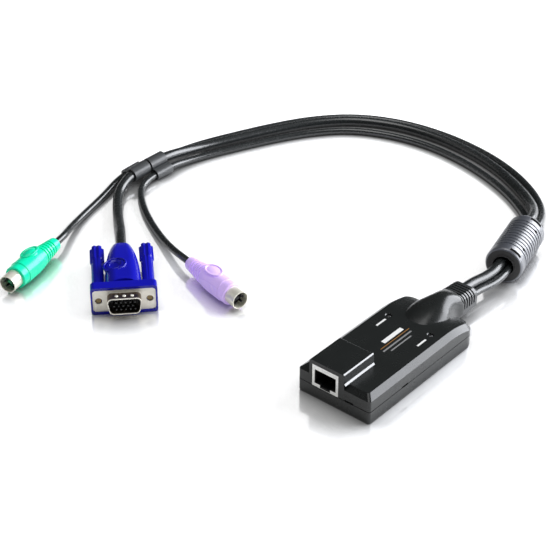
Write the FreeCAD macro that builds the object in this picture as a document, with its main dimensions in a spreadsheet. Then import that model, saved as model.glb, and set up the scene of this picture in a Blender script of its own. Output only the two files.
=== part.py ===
import FreeCAD, Part
import math
import os
import Sketcher

# A console adapter: a small snap-fit housing with a network jack at one end, and three
# cables at the other that run through a ferrite and two cable clips to a video plug and
# two round plugs. Millimetres, +Z up. The jack faces -Y and the cables leave along +Y.
# The origin lies on the floor below the middle of the housing and its strain relief.

V = FreeCAD.Vector
doc = FreeCAD.newDocument("console_adapter")

SIZES = {
    # Housing
    "total_length": 103.0,
    "relief_reach": 11.5,
    "body_length": 83.0,
    "body_width": 41.0,
    "seam_height": 7.0,
    "foot_height": 12.5,
    "top_height": 14.9,
    "chamfer_run": 2.8,
    "corner_radius": 1.2,
    "shoulder_radius": 7.0,
    "shoulder_land": 0.3,
    "bay_tip_radius": 2.6,
    "bay_depth": 7.5,
    "bay_angle": 5.0,
    "roll_start": 62.0,
    "roll_radius": 51.0,
    "wall": 1.6,
    "bottom_round": 0.9,
    "seam_gap": 0.35,
    "seam_step": 0.45,
    "notch_length": 4.7,
    "side_notch_place": 26.4,
    "front_notch_place": 8.9,
    "notch_height": 1.0,
    "post_radius": 1.9,
    "post_inset": 5.0,
    # Raised block over the jack
    "block_height": 20.6,
    "block_left": 14.2,
    "block_right": 5.6,
    "block_length": 22.0,
    "block_round": 0.9,
    "block_draft": 0.5,
    # Hump and tail that hold the strain relief
    "hump_start": 60.0,
    "hump_peak": 18.7,
    "hump_peak_place": 0.68,
    "hump_half_width": 11.7,
    "hump_narrows": 0.35,
    "hump_narrowed": 0.8,
    "tail_half_width": 7.8,
    "tail_top": 16.1,
    "tail_bottom": 3.4,
    "hump_fullness": 2.5,
    # Strain relief
    "relief_half_width": 7.2,
    "relief_flat_half": 3.35,
    "relief_top": 15.3,
    "relief_end_top": 14.2,
    "relief_bottom": 4.0,
    "relief_clearance": 0.05,
    "groove_width": 1.0,
    "groove_pitch": 2.0,
    "groove_depth": 0.75,
    "groove_floor": 7.8,
    "groove_count": 5,
    "stem_half_width": 5.0,
    "stem_length": 3.6,
    "collar_half_width": 6.2,
    "collar_length": 2.4,
    # Circuit board and what it carries
    "board_top": 6.5,
    "board_thickness": 1.6,
    "board_gap": 0.35,
    "board_corner": 3.0,
    "chip_size": 12.0,
    "chip_height": 1.4,
    "small_chip_length": 8.0,
    "small_chip_width": 5.0,
    "crystal_length": 10.0,
    "crystal_width": 3.6,
    "crystal_height": 3.5,
    "capacitor_radius": 2.0,
    "capacitor_height": 5.2,
    "header_length": 4.0,
    "header_width": 16.0,
    "header_height": 3.4,
    "lead_radius": 0.6,
    "lead_count": 6,
    "lead_pitch": 1.6,
    # Network jack
    "jack_centre": 5.1,
    "shield_width": 15.1,
    "shield_height": 11.9,
    "shield_depth": 18.0,
    "shield_wall": 0.3,
    "jack_recess": 0.2,
    "jack_window_width": 12.2,
    "jack_window_low": 1.9,
    "jack_window_height": 7.6,
    "jack_tab_width": 5.8,
    "jack_tab_floor": 0.6,
    "port_depth": 13.0,
    "jack_clearance": 0.1,
    "contact_size": 0.5,
    "contact_pitch": 1.02,
    "contact_count": 8,
    "contact_drop": 2.2,
    # Status lamps
    "lamp_side": 12.2,
    "lamp_place": 57.0,
    "lamp_radius": 1.25,
    "lamp_clearance": 0.1,
    "lamp_sink_radius": 1.75,
    "lamp_recess": 0.45,
    "lamp_lead_gap": 1.3,
    # Ferrite
    "ferrite_radius": 9.85,
    "ferrite_length": 36.8,
    "ferrite_bore": 5.45,
    "ferrite_wall": 1.5,
    "ferrite_end": 2.6,
    "ferrite_edge": 1.1,
    "ferrite_ring": 6.3,
    "ferrite_ring_reach": 0.35,
    "core_clearance": 0.1,
    "ferrite_slot_width": 1.5,
    "ferrite_slot_span": 6.6,
    "ferrite_slot_place": 16.0,
    "ferrite_slot_turn": 33.0,
    "ferrite_dot_radius": 0.75,
    "ferrite_dot_place": 9.4,
    "ferrite_dot_turn": 48.5,
    "ferrite_rib_pitch": 2.6,
    "ferrite_rib_gap": 0.9,
    "ferrite_rib_depth": 0.35,
    "ferrite_rib_count": 10,
    # Cable clips
    "clip_length": 11.0,
    "clip_wall": 0.95,
    "clip_clearance": 0.3,
    "clip_spacing": 6.6,
    # Cables
    "video_cable_diameter": 5.5,
    "thin_cable_diameter": 3.8,
    # Video plug
    "hood_width": 32.7,
    "hood_height": 15.5,
    "hood_base": 5.2,
    "hood_lip": 0.5,
    "hood_round": 2.0,
    "dome_width": 18.2,
    "dome_height": 14.7,
    "dome_end_width": 9.6,
    "dome_end_height": 8.0,
    "hood_length": 45.5,
    "crescent_half": 7.0,
    "crescent_reach": 2.6,
    "crescent_depth": 1.2,
    "pad_place": 21.9,
    "pad_aside": 3.7,
    "pad_half_width": 5.9,
    "pad_half_length": 6.2,
    "pad_rise": 0.8,
    "pad_dish": 0.75,
    "hood_room": 3.0,
    "flange_width": 30.8,
    "flange_height": 12.5,
    "flange_round": 1.8,
    "flange_thickness": 0.8,
    "shell_wide": 17.7,
    "shell_tall": 9.1,
    "shell_slope": 10.0,
    "shell_round": 2.5,
    "shell_reach": 6.0,
    "shell_thickness": 0.4,
    "dimple_radius": 0.75,
    "dimple_pitch": 3.8,
    "dimple_place": 3.4,
    "screw_spacing": 24.99,
    "screw_radius": 1.42,
    "screw_hole_radius": 1.75,
    "screw_recess": 0.6,
    "screw_length": 30.0,
    "pin_radius": 0.38,
    "pin_pitch": 2.29,
    "pin_row_pitch": 1.98,
    "pin_reach": 5.0,
    # Thumbscrew knobs
    "knob_gap": 0.3,
    "sleeve_radius": 2.9,
    "sleeve_end_radius": 3.15,
    "knob_start": 33.7,
    "knob_end": 45.8,
    "knob_radius": 3.7,
    "knob_shoulder": 0.8,
    "knob_edge": 0.5,
    "knob_flute_radius": 1.2,
    "knob_flute_depth": 0.9,
    "knob_crown": 2.2,
    "knob_flutes": 6,
    # Round plugs
    "plug_length": 35.5,
    "plug_radius": 6.25,
    "plug_shell_radius": 4.6,
    "plug_shell_reach": 6.7,
    "plug_shell_wall": 0.4,
    "plug_insert_recess": 2.4,
    "plug_boot_radius": 3.5,
    "plug_neck_radius": 5.45,
    "plug_collar_drop": 0.35,
    "plug_collar_length": 4.4,
    "plug_grip_end": 14.0,
    "plug_neck": 21.0,
    "plug_rib_count": 5,
    "plug_rib_pitch": 2.15,
    "plug_rib_gap": 0.9,
    "plug_rib_depth": 0.55,
    "plug_flat": 5.6,
    "plug_pad_place": 15.3,
    "plug_pad_half_length": 4.9,
    "plug_pad_half_width": 3.8,
    "plug_pad_rise": 1.05,
    "plug_pad_dish": 0.45,
    "plug_seat": 4.0,
    "plug_clearance": 0.02,
    "plug_pin_circle": 2.6,
    "plug_pin_radius": 0.45,
    "plug_pin_recess": 1.2,
}

sheet = doc.addObject("Spreadsheet::Sheet", "Sizes")
for row, (alias, number) in enumerate(SIZES.items(), 1):
    sheet.set(f"A{row}", alias)
    sheet.set(f"B{row}", str(number))
    sheet.setAlias(f"B{row}", alias)
doc.recompute()

pieces = []


def size(alias):
    """A driving dimension, read from the sheet."""
    return float(getattr(sheet, alias))


def keep(piece, label):
    """Marks an object as a finished sub-part under the name of its file."""
    piece.Label = label
    pieces.append(piece)
    return piece


def shaped(label, shape, place=None):
    """A sub-part whose form is worked out here, put in its place after its shape."""
    piece = doc.addObject("Part::Feature", label)
    piece.Shape = shape
    if place is not None:
        piece.Placement = place
    return keep(piece, label)


def bind(target, **expressions):
    """Binds properties of an object to expressions on the sheet."""
    for name, text in expressions.items():
        target.setExpression(name, text)
    return target


def put(target, at):
    """Binds the place of a primitive to three expressions."""
    for axis, text in zip("xyz", at):
        target.setExpression("Placement.Base." + axis, text)
    return target


def box(name, length, width, height, at):
    """A block with its low corner at the place given."""
    block = bind(doc.addObject("Part::Box", name), Length=length, Width=width, Height=height)
    return put(block, at)


def rod(name, radius, height, at):
    """An upright cylinder on the place given."""
    return put(bind(doc.addObject("Part::Cylinder", name), Radius=radius, Height=height), at)


def boolean(kind, name, base, tool):
    """One solid cut from, joined to or kept within another."""
    result = doc.addObject("Part::" + kind, name)
    result.Base = base
    result.Tool = tool
    return result


def joined(name, solids):
    """Several solids made one object."""
    result = doc.addObject("Part::MultiFuse", name)
    result.Shapes = solids
    return result


def origin_plane(body, role):
    """One of a body's own origin planes, found by its role."""
    return next(part for part in body.Origin.OriginFeatures if part.Role == role)


def sketch_on(body, role, name):
    """A sketch on one of the body's origin planes."""
    sketch = body.newObject("Sketcher::SketchObject", name)
    sketch.AttachmentSupport = [(origin_plane(body, role), "")]
    sketch.MapMode = "FlatFace"
    return sketch


def polygon(sketch, corners, construction=False):
    """A closed outline whose corners are pairs of expressions on the sheet."""
    count = len(corners)
    places = [V(math.cos(2 * math.pi * k / count), math.sin(2 * math.pi * k / count), 0) for k in range(count)]
    for k in range(count):
        sketch.addGeometry(Part.LineSegment(places[k], places[(k + 1) % count]), construction)
    for k in range(count):
        sketch.addConstraint(Sketcher.Constraint("Coincident", k, 2, (k + 1) % count, 1))
    for k, (across, up) in enumerate(corners):
        first = sketch.addConstraint(Sketcher.Constraint("DistanceX", -1, 1, k, 1, places[k].x))
        sketch.setExpression(f"Constraints[{first}]", across)
        second = sketch.addConstraint(Sketcher.Constraint("DistanceY", -1, 1, k, 1, places[k].y))
        sketch.setExpression(f"Constraints[{second}]", up)


def circle(sketch, radius, across, up):
    """A circle whose radius and centre are expressions on the sheet."""
    index = sketch.addGeometry(Part.Circle(V(1, 1, 0), V(0, 0, 1), 1), False)
    first = sketch.addConstraint(Sketcher.Constraint("Radius", index, 1.0))
    sketch.setExpression(f"Constraints[{first}]", radius)
    second = sketch.addConstraint(Sketcher.Constraint("DistanceX", -1, 1, index, 3, 1.0))
    sketch.setExpression(f"Constraints[{second}]", across)
    third = sketch.addConstraint(Sketcher.Constraint("DistanceY", -1, 1, index, 3, 1.0))
    sketch.setExpression(f"Constraints[{third}]", up)


# Places that several pieces share
FRONT = -size("total_length") / 2
REAR = FRONT + size("body_length")
EXIT = size("total_length") / 2
TAIL = EXIT - size("relief_reach")
SEAM = size("seam_height")
FRONT_TEXT = "(-Sizes.total_length / 2)"
BOARD_LOW_TEXT = "(Sizes.board_top - Sizes.board_thickness)"


def plan(inset, height):
    """The housing's plan drawn in by inset: square front corners and two round shoulders
    with a V-shaped bay between them, as a wire at the height given."""
    side = size("body_width") / 2 - inset
    front = FRONT + inset
    corner = size("corner_radius")
    outer = size("shoulder_radius")
    tip = size("bay_tip_radius")
    slope = math.radians(size("bay_angle"))
    along = V(math.sin(slope), math.cos(slope), 0)
    inward = V(math.cos(slope), -math.sin(slope), 0)
    outer_centre = V(size("body_width") / 2 - outer, REAR - outer, 0)
    tip_x = outer_centre.x - size("shoulder_land")
    tip_centre = V(tip_x, REAR - tip, 0)
    bay_top = tip_centre - inward * (tip - inset)
    bay_end = bay_top - along * ((bay_top.y - REAR + size("bay_depth") + inset) / along.y)
    half_turn = math.radians(45)
    corner_centre = V(side - corner, front + corner, 0)
    turn = (slope + math.pi / 2) / 2
    tip_middle = tip_centre + V(-math.sin(turn), math.cos(turn), 0) * (tip - inset)
    right = [
        Part.LineSegment(V(0, front, 0), V(side - corner, front, 0)),
        Part.Arc(V(side - corner, front, 0),
                 corner_centre + V(math.cos(half_turn), -math.sin(half_turn), 0) * corner,
                 V(side, front + corner, 0)),
        Part.LineSegment(V(side, front + corner, 0), V(side, outer_centre.y, 0)),
        Part.Arc(V(side, outer_centre.y, 0),
                 outer_centre + V(math.cos(half_turn), math.sin(half_turn), 0) * (outer - inset),
                 V(outer_centre.x, REAR - inset, 0)),
        Part.LineSegment(V(outer_centre.x, REAR - inset, 0), V(tip_x, REAR - inset, 0)),
        Part.Arc(V(tip_x, REAR - inset, 0), tip_middle, bay_top),
        Part.LineSegment(bay_top, bay_end),
        Part.LineSegment(bay_end, V(0, bay_end.y, 0)),
    ]
    half = Part.Wire([piece.toShape() for piece in right])
    other = half.mirror(V(0, 0, 0), V(1, 0, 0))
    wire = Part.Wire(Part.__sortEdges__(half.Edges + other.Edges))
    wire.translate(V(0, 0, height))
    return wire


def slab(inset, low, high):
    """An upright block over the plan."""
    return Part.Face(plan(inset, low)).extrude(V(0, 0, high - low))


def taper(low_inset, low, high_inset, high):
    """A block over the plan whose walls lean in, as the lower edges do."""
    return Part.makeLoft([plan(low_inset, low), plan(high_inset, high)], True, True)


def outline(corners, radius, round_from):
    """A closed outline at one height, with the corners from round_from on rounded."""
    block = Part.Face(Part.makePolygon(corners + corners[:1])).extrude(V(0, 0, 1))
    places = corners[round_from:]
    upright = [edge for edge in block.Edges
               if abs(edge.tangentAt(edge.FirstParameter).z) > 0.9
               and any(math.hypot(edge.CenterOfMass.x - at.x, edge.CenterOfMass.y - at.y) < 0.01 for at in places)]
    rounded = block.makeFillet(radius, upright)
    return min(rounded.Faces, key=lambda side: side.CenterOfMass.z).OuterWire


def edge_cone(end, direction, radius, shrinks, inset):
    """The room inside a chamfer that runs round one end of the housing: it leans out below
    the chamfer, so that it trims nothing else."""
    run, drop = size("chamfer_run"), size("top_height") - size("foot_height")
    lean = math.atan2(drop, run)
    knee = size("foot_height") - inset * math.tan((math.pi / 2 - lean) / 2)
    spread = size("seam_height")
    wires = []
    for draw, height in ((-spread, knee - spread * drop / run), (run, knee + drop)):
        side = size("body_width") / 2 - inset - draw
        stop = end - direction * (inset + draw)
        far = -direction * 2 * size("total_length")
        corners = [V(-side, far, height), V(side, far, height), V(side, stop, height), V(-side, stop, height)]
        wires.append(outline(corners, radius - (inset + draw if shrinks else 0), 2))
    cone = Part.makeLoft(wires, True, True)
    foot = Part.Face(wires[0]).extrude(V(0, 0, -size("total_length") / 2))
    return cone.fuse(foot)


def roofed(inset, low):
    """The housing's body above a height, drawn in by inset: a section with chamfered upper
    corners runs back and then rolls down over the shoulders, and the chamfer goes round both ends."""
    run, drop = size("chamfer_run"), size("top_height") - size("foot_height")
    lean = math.atan2(drop, run)
    side = size("body_width") / 2 - inset
    knee = size("foot_height") - inset * math.tan((math.pi / 2 - lean) / 2)
    flat = size("body_width") / 2 - run - inset * math.tan(lean / 2)
    top = size("top_height") - inset
    deep = -size("body_width") / 4
    roll = FRONT + size("roll_start")
    corners = [V(-side, roll, deep), V(side, roll, deep), V(side, roll, knee), V(flat, roll, top),
               V(-flat, roll, top), V(-side, roll, knee)]
    section = Part.Face(Part.makePolygon(corners + corners[:1]))
    hub = V(0, roll, size("top_height") - size("roll_radius"))
    reach = REAR - roll
    whole_turn = math.degrees(math.asin(reach / size("roll_radius")))
    body = section.extrude(V(0, FRONT - roll - 1, 0)).fuse(section.revolve(hub, V(1, 0, 0), -whole_turn * 1.6))
    body = body.common(slab(inset, low, size("top_height") + 1))
    body = body.common(edge_cone(FRONT, -1, size("corner_radius"), False, inset))
    turn = whole_turn * 0.73
    bend = math.radians(turn)
    along = (reach - size("roll_radius") * math.sin(bend) + drop * math.sin(bend)) / math.cos(bend)
    rear = edge_cone(roll + along, 1, size("shoulder_radius"), True, inset)
    rear.rotate(hub, V(1, 0, 0), -turn)
    return body.common(rear)


def block_between(low, high):
    """A box between two opposite corners."""
    span = high.sub(low)
    return Part.makeBox(span.x, span.y, span.z, low)


def hump_half(share):
    """Half width of the hump at a share of its length: wide between the shoulders, narrow at the tail."""
    passed = (share - size("hump_narrows")) / (size("hump_narrowed") - size("hump_narrows"))
    passed = min(1.0, max(0.0, passed))
    ease = passed * passed * (3 - 2 * passed)
    return size("hump_half_width") + (size("tail_half_width") - size("hump_half_width")) * ease


def hump_top(share):
    """Height of the hump at a share of its length: it rises out of the top, peaks and falls to the tail."""
    peak = size("hump_peak_place")
    rise = size("hump_peak") - size("top_height")
    if share <= peak:
        return size("top_height") + rise * (1 - (1 - share / peak) ** 2)
    return size("hump_peak") - (size("hump_peak") - size("tail_top")) * ((share - peak) / (1 - peak)) ** 2


def hump_bottom(share):
    """Height of the tail's underside, which lifts off the floor towards the cables."""
    return size("bottom_round") + (size("tail_bottom") - size("bottom_round")) * share ** 2


def arch(y, half_width, crown, base):
    """A section across Y: a full curve from side to side over a straight base."""
    steps = 12
    power = 2 / size("hump_fullness")
    curve = []
    for k in range(steps + 1):
        angle = math.pi * k / steps
        across = -half_width * math.copysign(abs(math.cos(angle)) ** power, math.cos(angle))
        curve.append(V(across, y, base + (crown - base) * max(0.0, math.sin(angle)) ** power))
    spline = Part.BSplineCurve()
    spline.interpolate(curve)
    return Part.Wire([spline.toShape(), Part.makeLine(curve[-1], curve[0])])


def hump(margin, upper):
    """The upper or lower half of the swelling between the shoulders, drawn in by margin."""
    shares = [k / 8 for k in range(9)]
    begin = FRONT + size("hump_start")
    sections = []
    for share in shares:
        crown = hump_top(share) - margin if upper else hump_bottom(share) + margin
        sections.append(arch(begin + (TAIL - begin) * share, hump_half(share) - margin, crown, SEAM))
    return Part.makeLoft(sections, True, False)


def jack_space(margin):
    """The room that the jack's shield takes, grown by margin."""
    half = size("shield_width") / 2 + margin
    low = shield_low() - margin
    return block_between(V(-size("jack_centre") - half, FRONT - 1, low),
                         V(-size("jack_centre") + half, FRONT + size("shield_depth") + margin + 0.4,
                           shield_low() + size("shield_height") + margin))


def shield_low():
    """The jack stands on the board."""
    return size("board_top")


def relief_room(margin):
    """The room in the tail for the strain relief's stem and collar."""
    collar_start = TAIL - size("stem_length") - size("collar_length")
    stem = relief_block(TAIL - size("stem_length") - 0.5, TAIL + 1, size("stem_half_width") + margin, margin)
    collar = relief_block(collar_start - margin, TAIL - size("stem_length") + margin,
                          size("collar_half_width") + margin, margin)
    channel = relief_block(FRONT + size("hump_start") - 2, collar_start + 1, size("stem_half_width"), 0)
    return stem.fuse([collar, channel])


def relief_centre():
    """Height of the strain relief's axis."""
    return (size("relief_end_top") + size("relief_bottom")) / 2 + 0.2


def relief_block(start, end, half, margin):
    """A rounded block along the cable's axis, for the stem and the collar."""
    tall = half * 0.86
    solid = block_between(V(-half, start, relief_centre() - tall), V(half, end, relief_centre() + tall))
    along = [edge for edge in solid.Edges if abs(edge.tangentAt(edge.FirstParameter).y) > 0.9]
    return solid.makeFillet(half * 0.55, along)


def raised_block():
    """The block over the jack, with rounded top edges and a slight draft on its right."""
    low = size("seam_height") + 1
    left, right = -size("block_left"), size("block_right")
    corners = [V(left, FRONT, low), V(right + size("block_draft"), FRONT, low),
               V(right, FRONT, size("block_height")), V(left, FRONT, size("block_height"))]
    solid = Part.Face(Part.makePolygon(corners + corners[:1])).extrude(V(0, size("block_length"), 0))
    high = size("block_height") - 0.01
    edges = [edge for edge in solid.Edges
             if edge.BoundBox.ZMin > high and edge.BoundBox.YMax > FRONT + 0.01]
    return solid.makeFillet(size("block_round"), edges)


def notches():
    """The openings in the seam that a tool goes into to part the shells."""
    half = size("notch_length") / 2
    low = SEAM - size("notch_height") / 2
    high = SEAM + size("notch_height") / 2
    deep = size("wall") * 0.7
    side = size("body_width") / 2
    place = FRONT + size("side_notch_place")
    middle = size("front_notch_place")
    right = block_between(V(side - deep, place - half, low), V(side + 1, place + half, high))
    left = block_between(V(-side - 1, place - half, low), V(-side + deep, place + half, high))
    front = block_between(V(middle - half, FRONT - 1, low), V(middle + half, FRONT + deep, high))
    return [right, left, front]


def lamp_places():
    """The two lamps' places on the plan."""
    return [V(side * size("lamp_side"), FRONT + size("lamp_place"), 0) for side in (-1, 1)]


def post_places():
    """The posts that carry the board, near its corners."""
    across = size("body_width") / 2 - size("post_inset")
    near = FRONT + size("shield_depth") + size("post_inset")
    far = FRONT + size("hump_start") - size("board_gap") - size("post_inset")
    return [V(side * across, y, 0) for side in (-1, 1) for y in (near, far)]


def housing_top():
    """The upper shell: chamfered walls, the jack's block, the hump and the lamp holes."""
    solid = roofed(0, SEAM).fuse([raised_block(), hump(0, True)])
    wide = size("body_width")
    solid = solid.cut(block_between(V(-wide, FRONT - 1, 0), V(wide, EXIT, SEAM)))
    solid = solid.cut([roofed(size("wall"), SEAM - 1), jack_space(size("jack_clearance")),
                       relief_room(size("relief_clearance"))] + notches())
    top = size("top_height")
    for place in lamp_places():
        hole = Part.makeCylinder(size("lamp_radius") + size("lamp_clearance"), top, place)
        sink = Part.makeCone(size("lamp_radius"), size("lamp_sink_radius"), size("lamp_recess"),
                             place + V(0, 0, top - size("lamp_recess")))
        solid = solid.cut([hole, sink])
    shaped("housing_top", solid.removeSplitter())


def housing_bottom():
    """The lower shell: a tray with rounded lower edges, board posts and the tail's underside."""
    step = SEAM - size("seam_gap")
    round_high = size("bottom_round")
    lower = taper(round_high * 0.7, 0, round_high * 0.2, round_high * 0.3)
    upper = taper(round_high * 0.2, round_high * 0.3, 0, round_high)
    rim = slab(size("seam_step"), step - 0.5, SEAM)
    solid = slab(0, round_high, step).fuse([lower, upper, rim, hump(0, False)])
    solid = solid.cut([slab(size("wall"), size("wall"), SEAM + 1), jack_space(size("jack_clearance")),
                       relief_room(size("relief_clearance"))] + notches())
    low = size("board_top") - size("board_thickness")
    for place in post_places():
        solid = solid.fuse(Part.makeCylinder(size("post_radius"), low - size("wall") / 2,
                                             place + V(0, 0, size("wall") / 2)))
    shaped("housing_bottom", solid.removeSplitter())


def relief_outline(y, half, top, bottom):
    """A section of the strain relief: flat crown, large upper rounds and small lower ones."""
    upper = half - size("relief_flat_half")
    lower = 1.2
    bend = math.sqrt(0.5)
    right = [
        Part.LineSegment(V(0, y, bottom), V(half - lower, y, bottom)),
        Part.Arc(V(half - lower, y, bottom), V(half - lower + lower * bend, y, bottom + lower - lower * bend),
                 V(half, y, bottom + lower)),
        Part.LineSegment(V(half, y, bottom + lower), V(half, y, top - upper)),
        Part.Arc(V(half, y, top - upper), V(half - upper + upper * bend, y, top - upper + upper * bend),
                 V(half - upper, y, top)),
        Part.LineSegment(V(half - upper, y, top), V(0, y, top)),
    ]
    half_wire = Part.Wire([piece.toShape() for piece in right])
    other = half_wire.mirror(V(0, 0, 0), V(1, 0, 0))
    return Part.Wire(Part.__sortEdges__(half_wire.Edges + other.Edges))


def strain_relief():
    """The moulded strain relief: a ribbed block outside, a stem and a collar held in the tail."""
    half, bottom = size("relief_half_width"), size("relief_bottom")
    front_top, end_top = size("relief_top"), size("relief_end_top")
    deep = size("groove_depth")
    solid = Part.makeLoft([relief_outline(TAIL, half, front_top, bottom),
                           relief_outline(EXIT, half, end_top, bottom)], True, True)
    inner = Part.makeLoft([relief_outline(TAIL, half - deep, front_top - deep, bottom - 1),
                           relief_outline(EXIT, half - deep, end_top - deep, bottom - 1)], True, True)
    for k in range(int(size("groove_count"))):
        start = TAIL + size("groove_width") / 2 + k * size("groove_pitch")
        ring = block_between(V(-half - 1, start, size("groove_floor")),
                             V(half + 1, start + size("groove_width"), front_top + 1))
        solid = solid.cut(ring.cut(inner))
    stem = relief_block(TAIL - size("stem_length") - 0.2, TAIL + 0.5, size("stem_half_width"), 0)
    collar = relief_block(TAIL - size("stem_length") - size("collar_length"), TAIL - size("stem_length"),
                          size("collar_half_width"), 0)
    shaped("strain_relief", solid.fuse([stem, collar]).removeSplitter())


def circuit_board():
    """The board, padded from its outline; it ends before the hump."""
    body = doc.addObject("PartDesign::Body", "board_body")
    outline_sketch = sketch_on(body, "XY_Plane", "board_outline")
    half = "(Sizes.body_width / 2 - Sizes.wall - Sizes.board_gap)"
    near = f"({FRONT_TEXT} + Sizes.wall + Sizes.board_gap)"
    far = f"({FRONT_TEXT} + Sizes.hump_start - Sizes.board_gap)"
    corner = "Sizes.board_corner"
    polygon(outline_sketch, [
        (f"-{half}", near), (half, near), (half, f"{far} - {corner}"), (f"{half} - {corner}", far),
        (f"-{half} + {corner}", far), (f"-{half}", f"{far} - {corner}"),
    ])
    pad = body.newObject("PartDesign::Pad", "board_pad")
    pad.Profile = outline_sketch
    pad.setExpression("Length", "Sizes.board_thickness")
    body.Tip = pad
    put(body, ("0", "0", BOARD_LOW_TEXT))
    keep(body, "circuit_board")


def board_parts():
    """What stands on the board: two chips, a crystal, a capacitor and the header of the lead wires."""
    top = "Sizes.board_top"
    middle = f"({FRONT_TEXT} + Sizes.shield_depth + Sizes.chip_size)"
    keep(box("main_chip", "Sizes.chip_size", "Sizes.chip_size", "Sizes.chip_height",
             ("-Sizes.chip_size / 2", middle, top)), "main_chip")
    keep(box("support_chip", "Sizes.small_chip_length", "Sizes.small_chip_width", "Sizes.chip_height",
             ("Sizes.jack_window_width / 2", f"{FRONT_TEXT} + Sizes.shield_depth / 2", top)), "support_chip")
    crystal = box("crystal_can", "Sizes.crystal_length", "Sizes.crystal_width", "Sizes.crystal_height",
                  ("-Sizes.crystal_length / 2", f"{middle} - Sizes.crystal_width - 2", top))
    rounded = doc.addObject("Part::Fillet", "crystal_round")
    rounded.Base = crystal
    doc.recompute()
    upright = [k for k, edge in enumerate(crystal.Shape.Edges, 1)
               if abs(edge.tangentAt(edge.FirstParameter).z) > 0.9]
    rounded.Edges = [(k, size("crystal_width") * 0.4, size("crystal_width") * 0.4) for k in upright]
    keep(rounded, "crystal")
    keep(rod("capacitor_can", "Sizes.capacitor_radius", "Sizes.capacitor_height",
             ("Sizes.chip_size", f"{middle} + Sizes.chip_size / 2", top)), "capacitor")
    header_place = f"({FRONT_TEXT} + Sizes.hump_start - Sizes.header_length)"
    keep(box("header_block", "Sizes.header_width", "Sizes.header_length", "Sizes.header_height",
             ("-Sizes.header_width / 2", header_place, top)), "wire_header")


def lead_wires():
    """The straight leads between the strain relief's collar and the header on the board."""
    start = FRONT + size("hump_start")
    end = TAIL - size("stem_length") - size("collar_length")
    count = int(size("lead_count"))
    height = size("board_top") + size("header_height") / 2
    leads = []
    for k in range(count):
        across = (k - (count - 1) / 2) * size("lead_pitch")
        leads.append(Part.makeCylinder(size("lead_radius"), end - start, V(across, start, height), V(0, 1, 0)))
    shaped("lead_wires", Part.makeCompound(leads))


def jack_shield():
    """The jack's metal shield: a thin box with a wide frame round the port, open at the back."""
    width, height, depth = "Sizes.shield_width", "Sizes.shield_height", "Sizes.shield_depth"
    left = "(-Sizes.jack_centre - Sizes.shield_width / 2)"
    near = f"({FRONT_TEXT} + Sizes.jack_recess)"
    skin = "Sizes.shield_wall"
    outer = box("shield_block", width, depth, height, (left, near, "Sizes.board_top"))
    room = box("shield_room", f"{width} - 2 * {skin}", depth, f"{height} - 2 * {skin}",
               (f"{left} + {skin}", f"{near} + {skin}", f"Sizes.board_top + {skin}"))
    window = box("shield_window", "Sizes.jack_window_width", "2", "Sizes.jack_window_height",
                 ("-Sizes.jack_centre - Sizes.jack_window_width / 2", f"{near} - 1",
                  "Sizes.board_top + Sizes.jack_window_low"))
    slot = box("shield_slot", "Sizes.jack_tab_width", "2", "Sizes.jack_window_low + 1",
               ("-Sizes.jack_centre - Sizes.jack_tab_width / 2", f"{near} - 1",
                f"Sizes.board_top + {skin}"))
    keep(boolean("Cut", "shield_cut", outer, joined("shield_openings", [room, window, slot])), "jack_shield")


def jack_insert():
    """The jack's plastic body, a block inside the shield with the port and its latch slot."""
    skin = "(Sizes.shield_wall + 0.02)"
    near = f"({FRONT_TEXT} + Sizes.jack_recess + {skin})"
    left = f"(-Sizes.jack_centre - Sizes.shield_width / 2 + {skin})"
    low = f"(Sizes.board_top + {skin})"
    block = box("insert_block", f"Sizes.shield_width - 2 * {skin}", f"Sizes.shield_depth - {skin}",
                f"Sizes.shield_height - 2 * {skin}", (left, near, low))
    port_low = "(Sizes.board_top + Sizes.jack_window_low + 0.1)"
    port = box("insert_port", "Sizes.jack_window_width - 0.4", "Sizes.port_depth + 1",
               "Sizes.jack_window_height - 0.2",
               ("-Sizes.jack_centre - Sizes.jack_window_width / 2 + 0.2", f"{near} - 1", port_low))
    latch = box("insert_latch", "Sizes.jack_tab_width - 0.2", "Sizes.port_depth - 2",
                "Sizes.jack_window_low + 1",
                ("-Sizes.jack_centre - Sizes.jack_tab_width / 2 + 0.1", f"{near} - 1",
                 f"{low} + Sizes.jack_tab_floor"))
    keep(boolean("Cut", "insert_cut", block, joined("insert_openings", [port, latch])), "jack_insert")


def jack_contacts():
    """Eight spring contacts that slope down from the roof of the port towards its back."""
    near = FRONT + size("jack_recess") + size("shield_wall")
    roof = size("board_top") + size("jack_window_low") + size("jack_window_height") - 0.1
    thick = size("contact_size")
    back = near + size("port_depth") - 0.02
    count = int(size("contact_count"))
    wires = []
    for k in range(count):
        across = -size("jack_centre") + (k - (count - 1) / 2) * size("contact_pitch") - thick / 2
        side = [V(across, near + 2.5, roof), V(across, back, roof - size("contact_drop")),
                V(across, back, roof - size("contact_drop") + thick),
                V(across, near + 2.5 + 2 * thick, roof)]
        wires.append(Part.Face(Part.makePolygon(side + side[:1])).extrude(V(thick, 0, 0)))
    shaped("jack_contacts", Part.makeCompound(wires))


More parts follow.
